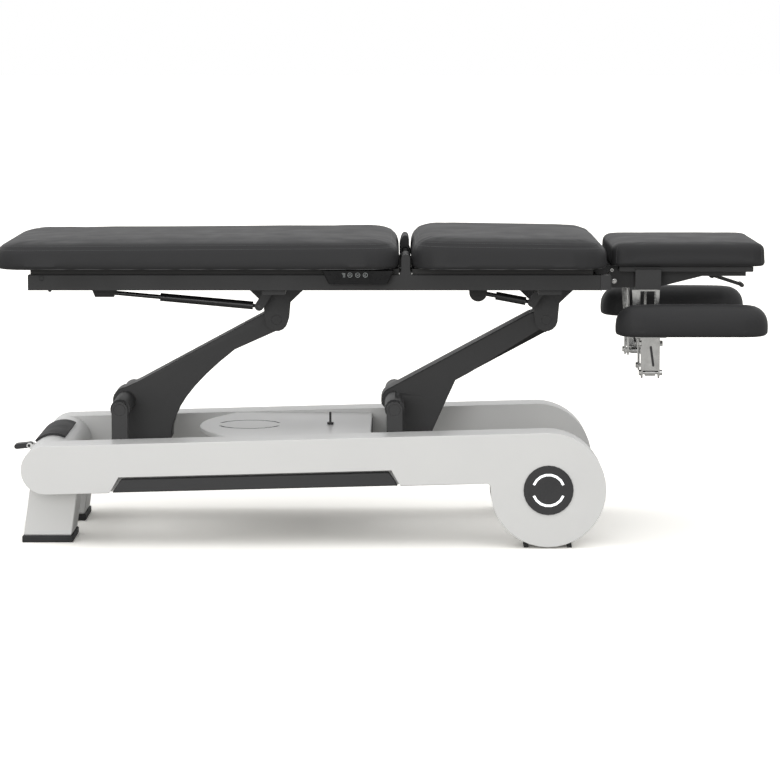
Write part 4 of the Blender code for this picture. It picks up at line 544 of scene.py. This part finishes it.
def upholster(node, material, voxel, cap, hem, fuller=(0.0, 0.0), start_inset=0.0):
    """Sewn cover over a node's own form, fuller at its two ends, remeshed and swollen as cloth.

    The form starts smaller by start_inset, which leaves the cloth room to swell."""
    low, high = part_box(node)
    size = high - low
    shape = merged(node)
    anchor = Vector(((low.x + high.x) / 2, (low.y + high.y) / 2, low.z))
    longer = fuller[0] + fuller[1] - 2 * start_inset
    share = Vector((1 + longer / size.x, 1 - 2 * start_inset / size.y, 1 - start_inset / size.z))
    bmesh.ops.scale(shape, vec=share, space=Matrix.Translation(-anchor), verts=shape.verts)
    bmesh.ops.translate(shape, vec=((fuller[1] - fuller[0]) / 2, 0, 0), verts=shape.verts)
    piece = put(shape, node + "_cover", material, frame["nodes"][node]["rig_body"], 180)
    remeshed(piece, voxel)
    settle(piece, lambda point: point.z < low.z + hem, cap)
    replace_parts(piece, node)
    return piece


def finer(piece):
    """One subdivision for a smooth outline."""
    smooth = piece.modifiers.new("finer", "SUBSURF")
    smooth.levels = 1
    smooth.render_levels = 1


def seam_path(piece, point, normal):
    """Points in order where a plane cuts the finished cover."""
    shape = bmesh.new()
    shape.from_mesh(piece.data)
    bmesh.ops.bisect_plane(shape, geom=shape.verts[:] + shape.edges[:] + shape.faces[:], dist=0.000001,
                           plane_co=point, plane_no=normal, clear_inner=True, clear_outer=True)
    shape.verts.ensure_lookup_table()
    here = shape.verts[0]
    path = []
    left = set(shape.verts)
    while here is not None:
        path.append(here.co.copy())
        left.discard(here)
        ways = [edge.other_vert(here) for edge in here.link_edges if edge.other_vert(here) in left]
        here = ways[0] if ways else None
    shape.free()
    return path


def threads(name, path, pitch, thick, body):
    """A row of stitches along a line of points: the thread dips into the cover between them."""
    row = bpy.data.curves.new(name, "CURVE")
    row.dimensions = "3D"
    row.bevel_depth = thick / 2
    row.bevel_resolution = 0
    row.use_fill_caps = True
    row.materials.append(grey_thread)
    points = []
    gone = 0.0
    stop = 0
    for start, end in zip(path, path[1:]):
        length = (end - start).length
        while stop // 4 * pitch + STITCH_SHAPE[stop % 4][0] * pitch < gone + length:
            share, size = STITCH_SHAPE[stop % 4]
            step = stop // 4 * pitch + share * pitch - gone
            points.append((start + (end - start) * (step / length), size))
            stop += 1
        gone += length
    line = row.splines.new("POLY")
    line.points.add(len(points) - 1)
    for point, (place, size) in zip(line.points, points):
        point.co = (place.x, place.y, place.z, 1)
        point.radius = size
    piece = bpy.data.objects.new(name, row)
    bpy.context.scene.collection.objects.link(piece)
    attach(piece, body)


# The top panel and the side band meet in a seam with a row of stitches above and below it.
STITCH_SHAPE = ((0.04, 0.2), (0.28, 1.0), (0.72, 1.0), (0.96, 0.2))
SEAM_DROP = 0.0150
ROW_APART = 0.0095
STITCH = 0.006
THREAD = 0.0011
LEAN = {"leg": 0.0035, "back": -0.0040}
VOXEL = {"leg": 0.0085, "back": 0.0060}
FULLER = {"leg": (0.010, 0.002), "back": (0.002, 0.010)}
HEM_FOLD = 0.090
HEM_UP = 0.004
for section in ("leg", "back"):
    node = section + "_cushion"
    low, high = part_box(node)
    cover = upholster(node, anthracite_vinyl, VOXEL[section], cap=0.0030, hem=0.011, fuller=FULLER[section])
    slope = Vector((-LEAN[section] * 2 / (high.x - low.x), 0, 1)).normalized()
    seam = Vector(((low.x + high.x) / 2, 0, high.z - abs(LEAN[section]) - SEAM_DROP))
    crease(cover, seam, slope, depth=0.0014, reach=0.011)
    finer(cover)
    for row, shift in (("upper", ROW_APART / 2), ("lower", -ROW_APART / 2)):
        path = seam_path(cover, seam + Vector((0, 0, shift)), slope)
        path.append(path[0])
        threads("%s_seam_%s" % (section, row), path, STITCH, THREAD, section + "_section")
    hem_line = seam_path(cover, Vector((seam.x, 0, low.z + HEM_UP)), Vector((0, 0, 1)))
    hem_line.append(hem_line[0])
    threads(section + "_hem_fold", hem_line, HEM_FOLD, THREAD * 2, section + "_section")

# Gap strip
# A folded flap of the same leatherette over the hinge between leg and back cushion.
# It hangs over the far hinge pin, which the rail's ear holds.
STRIP_WIDER = 0.0040
STRIP_HIGHER = 0.0090
# It is fuller towards the leg cushion, and on the other side only where the back cushion doesn't swing in.
# Each pair gives the share of its height where the fullness ends, and the share over which it fades.
LEG_FADE = (0.9, 0.35)
BACK_FADE = (0.5, 0.25)
flap = upholster("gap_strip", anthracite_vinyl, voxel=0.0015, cap=0.0006, hem=0.004)
low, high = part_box("gap_strip")
for vert in flap.data.vertices:
    up = (vert.co.z - low.z) / (high.z - low.z)
    aside = (vert.co.x - (low.x + high.x) / 2) / (high.x - low.x) * 2
    ends, over = LEG_FADE if aside < 0 else BACK_FADE
    vert.co.x += STRIP_WIDER * aside * min(1.0, max(0.0, (ends - up) / over))
    vert.co.z += STRIP_HIGHER * max(0.0, up - 0.5) * 2
finer(flap)

# Head section
# A graphite frame hinged at the back section, a boxy head cushion with sewn corners,
# and a black release lever under its end.
skin("head_frame", graphite_coat, 0.8)
skin("head_lever", black_abs, 0.5)
head_cover = upholster("head_cushion", anthracite_vinyl, voxel=0.0045, cap=0.0025, hem=0.006,
                       fuller=(0.005, 0.003))
finer(head_cover)
head_low, head_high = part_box("head_cushion")
HEAD_CORNER = 0.032
CORNER_REACH = 0.028
SEAM_STOPS = (0.006, 0.012)
for end, x, toward in (("back", head_low.x + HEAD_CORNER, 1), ("end", head_high.x - HEAD_CORNER, -1)):
    for side, out in SIDES:
        corner = Vector((x, out * (head_high.y - HEAD_CORNER), 0))
        across = Vector((out, toward, 0)).normalized()
        outward = Vector((-toward, out, 0))
        path = [point for point in seam_path(head_cover, corner, across)
                if (point - corner).dot(outward) > CORNER_REACH
                and head_low.z + SEAM_STOPS[0] < point.z < head_high.z - SEAM_STOPS[1]]
        path.sort(key=lambda point: point.z)
        threads("head_seam_%s_%s" % (end, side), path, STITCH, THREAD, "head_section")

# Bolts of the head hinge
# A bright steel bolt with a round head on either side of the head frame, and a small collar above it.
# Both are fixed in the frame and turn with the head section.
COLLAR = ((0.0022, -0.0020), (0.0042, -0.0020), (0.0047, -0.0014), (0.0047, 0.0006), (0.0042, 0.0012),
          (0.0027, 0.0012), (0.0022, 0.0006), (0.0022, -0.0020))
COLLAR_PLACE = (0.6105, 0.1400, 0.7140)
BOLT = ((0.0, 0.0062), (0.0036, 0.0062), (0.0048, 0.0052), (0.0050, 0.0012), (0.0064, 0.0010),
        (0.0064, -0.0005), (0.0, -0.0005))
BOLT_PLACE = (0.6173, 0.1400, 0.6843)
for side, out in SIDES:
    for name, profile, (x, y, z) in (("collar", COLLAR, COLLAR_PLACE), ("bolt", BOLT, BOLT_PLACE)):
        piece = turned("head_%s_%s" % (name, side), profile, (x, out * y, z), (0, out, 0), polished_chrome,
                       "head_section")

# Armrests
# A soft pad on each side, carried by bright steel brackets and links, so that it swings up level.
# The links turn on steel pins, and a black glide lines each bracket's slot.
GLIDE_ENDS = ((0.0068, 0.0762), (0.0, 0.0276))
GLIDE_RADIUS = 0.0029
GLIDE_DEPTH = 0.0030
GLIDE_SINK = 0.0039
for side in ("near", "far"):
    for node in ("armrest_hanger_", "armrest_bracket_", "armrest_link_upper_", "armrest_link_lower_"):
        skin(node + side, polished_chrome, 0.3)
    low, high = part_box("armrest_bracket_" + side)
    middle = (low.x + high.x) / 2
    face = low.y + GLIDE_SINK if side == "near" else high.y - GLIDE_SINK - GLIDE_DEPTH
    glide = bmesh.new()
    for shift, drop in GLIDE_ENDS:
        for depth in (0, GLIDE_DEPTH):
            ring = bmesh.ops.create_circle(glide, segments=16, radius=GLIDE_RADIUS)["verts"]
            bmesh.ops.rotate(glide, cent=(0, 0, 0), matrix=QUARTER_TURN, verts=ring)
            bmesh.ops.translate(glide, vec=(middle + shift, face + depth, high.z - drop), verts=ring)
    bmesh.ops.convex_hull(glide, input=glide.verts)
    bmesh.ops.recalc_face_normals(glide, faces=glide.faces)
    put(glide, "armrest_glide_" + side, black_abs, "armrest_" + side)
    pad_cover = upholster("armrest_pad_" + side, anthracite_vinyl, voxel=0.0040, cap=0.003, hem=0.010,
                          fuller=(0.0, 0.002), start_inset=0.001)
    finer(pad_cover)

# Studio
# A pale floor in a white room, a key light from the front and a soft light from above.
FLOOR_HALF = 60
PAPER_GAIN = (0.86, 0.850, 0.820, 1)
PAPER_LIFT = 0.06
FILL_LEVEL = 0.75
CEILING_LEVEL = 0.9
KEY_POWER = 85
KEY_SIZE = 2.4
KEY_PLACE = (-1.2, -6.6, 1.7)
KEY_AIM = Vector((0, 0, 0.35))
floor_shape = bmesh.new()
bmesh.ops.create_grid(floor_shape, x_segments=1, y_segments=1, size=FLOOR_HALF)
floor_mesh = bpy.data.meshes.new("studio_floor")
floor_shape.to_mesh(floor_mesh)
floor_shape.free()
floor = bpy.data.objects.new("studio_floor", floor_mesh)
bpy.context.scene.collection.objects.link(floor)
# Seamless paper: light warm grey. The camera sees it brighter, so only the shade close to the table shows.
paper = coat("warm_white_paper", "#c1c0bd", "#c3c2bf", 0.9, 0.02, 900, 6, 0.02, 0.0)
paper_tree = paper.node_tree
paper_seen = add(paper_tree, "ShaderNodeLightPath")
paper_gain = add(paper_tree, "ShaderNodeMix", {0: paper_seen.outputs["Is Camera Ray"], 6: (0, 0, 0, 1),
                                               7: PAPER_GAIN}, data_type="RGBA")
paper_more = add(paper_tree, "ShaderNodeBsdfDiffuse", {"Color": paper_gain.outputs[2]})
paper_lift = add(paper_tree, "ShaderNodeMath", {0: paper_seen.outputs["Is Camera Ray"], 1: PAPER_LIFT},
                 operation="MULTIPLY")
paper_glow = add(paper_tree, "ShaderNodeEmission", {"Color": linear("#fffaf0"),
                                                    "Strength": paper_lift.outputs["Value"]})
paper_sum = add(paper_tree, "ShaderNodeAddShader", {0: paper_more.outputs["BSDF"],
                                                    1: paper_glow.outputs["Emission"]})
paper_all = add(paper_tree, "ShaderNodeAddShader", {0: paper_tree.nodes["Principled BSDF"].outputs["BSDF"],
                                                    1: paper_sum.outputs["Shader"]})
paper_tree.links.new(paper_all.outputs["Shader"], paper_tree.nodes["Material Output"].inputs["Surface"])
floor_mesh.materials.append(paper)

world = bpy.data.worlds.new("studio_room")
bpy.context.scene.world = world
world.use_nodes = True
room = world.node_tree
room.nodes.clear()
seen = add(room, "ShaderNodeLightPath")
either = add(room, "ShaderNodeMath", {0: seen.outputs["Is Camera Ray"], 1: seen.outputs["Is Glossy Ray"]},
             operation="MAXIMUM")
shown = add(room, "ShaderNodeMath", {0: either.outputs["Value"], 1: seen.outputs["Is Transmission Ray"]},
            operation="MAXIMUM")
fill_light = add(room, "ShaderNodeBackground", {"Color": (1, 1, 1, 1), "Strength": FILL_LEVEL})
white_wall = add(room, "ShaderNodeBackground", {"Color": (1, 1, 1, 1), "Strength": 1.0})
mixed = add(room, "ShaderNodeMixShader", {0: shown.outputs["Value"], 1: fill_light.outputs["Background"],
                                          2: white_wall.outputs["Background"]})
add(room, "ShaderNodeOutputWorld", {"Surface": mixed.outputs["Shader"]})

ceiling_data = bpy.data.lights.new("ceiling_softbox", "SUN")
ceiling_data.energy = CEILING_LEVEL
ceiling_data.angle = math.radians(90)
ceiling = bpy.data.objects.new("ceiling_softbox", ceiling_data)
ceiling.rotation_euler = (math.radians(15), 0, 0)
bpy.context.scene.collection.objects.link(ceiling)
key_data = bpy.data.lights.new("front_softbox", "AREA")
key_data.shape = "DISK"
key_data.size = KEY_SIZE
key_data.energy = KEY_POWER
key = bpy.data.objects.new("front_softbox", key_data)
key.location = KEY_PLACE
key.rotation_euler = (KEY_AIM - key.location).to_track_quat("-Z", "Y").to_euler()
bpy.context.scene.collection.objects.link(key)

# Camera
# A long lens square to the table's side, above its top and tilted a little down.
camera_data = bpy.data.cameras.new("catalogue_camera")
camera_data.lens = 140.96
camera_data.sensor_width = 36.0
camera = bpy.data.objects.new("catalogue_camera", camera_data)
camera.location = (0.021, -8.24, 1.392)
camera.rotation_euler = (math.radians(82.96), 0, 0)
bpy.context.scene.collection.objects.link(camera)
bpy.context.scene.camera = camera
bpy.context.scene.view_settings.view_transform = "Standard"
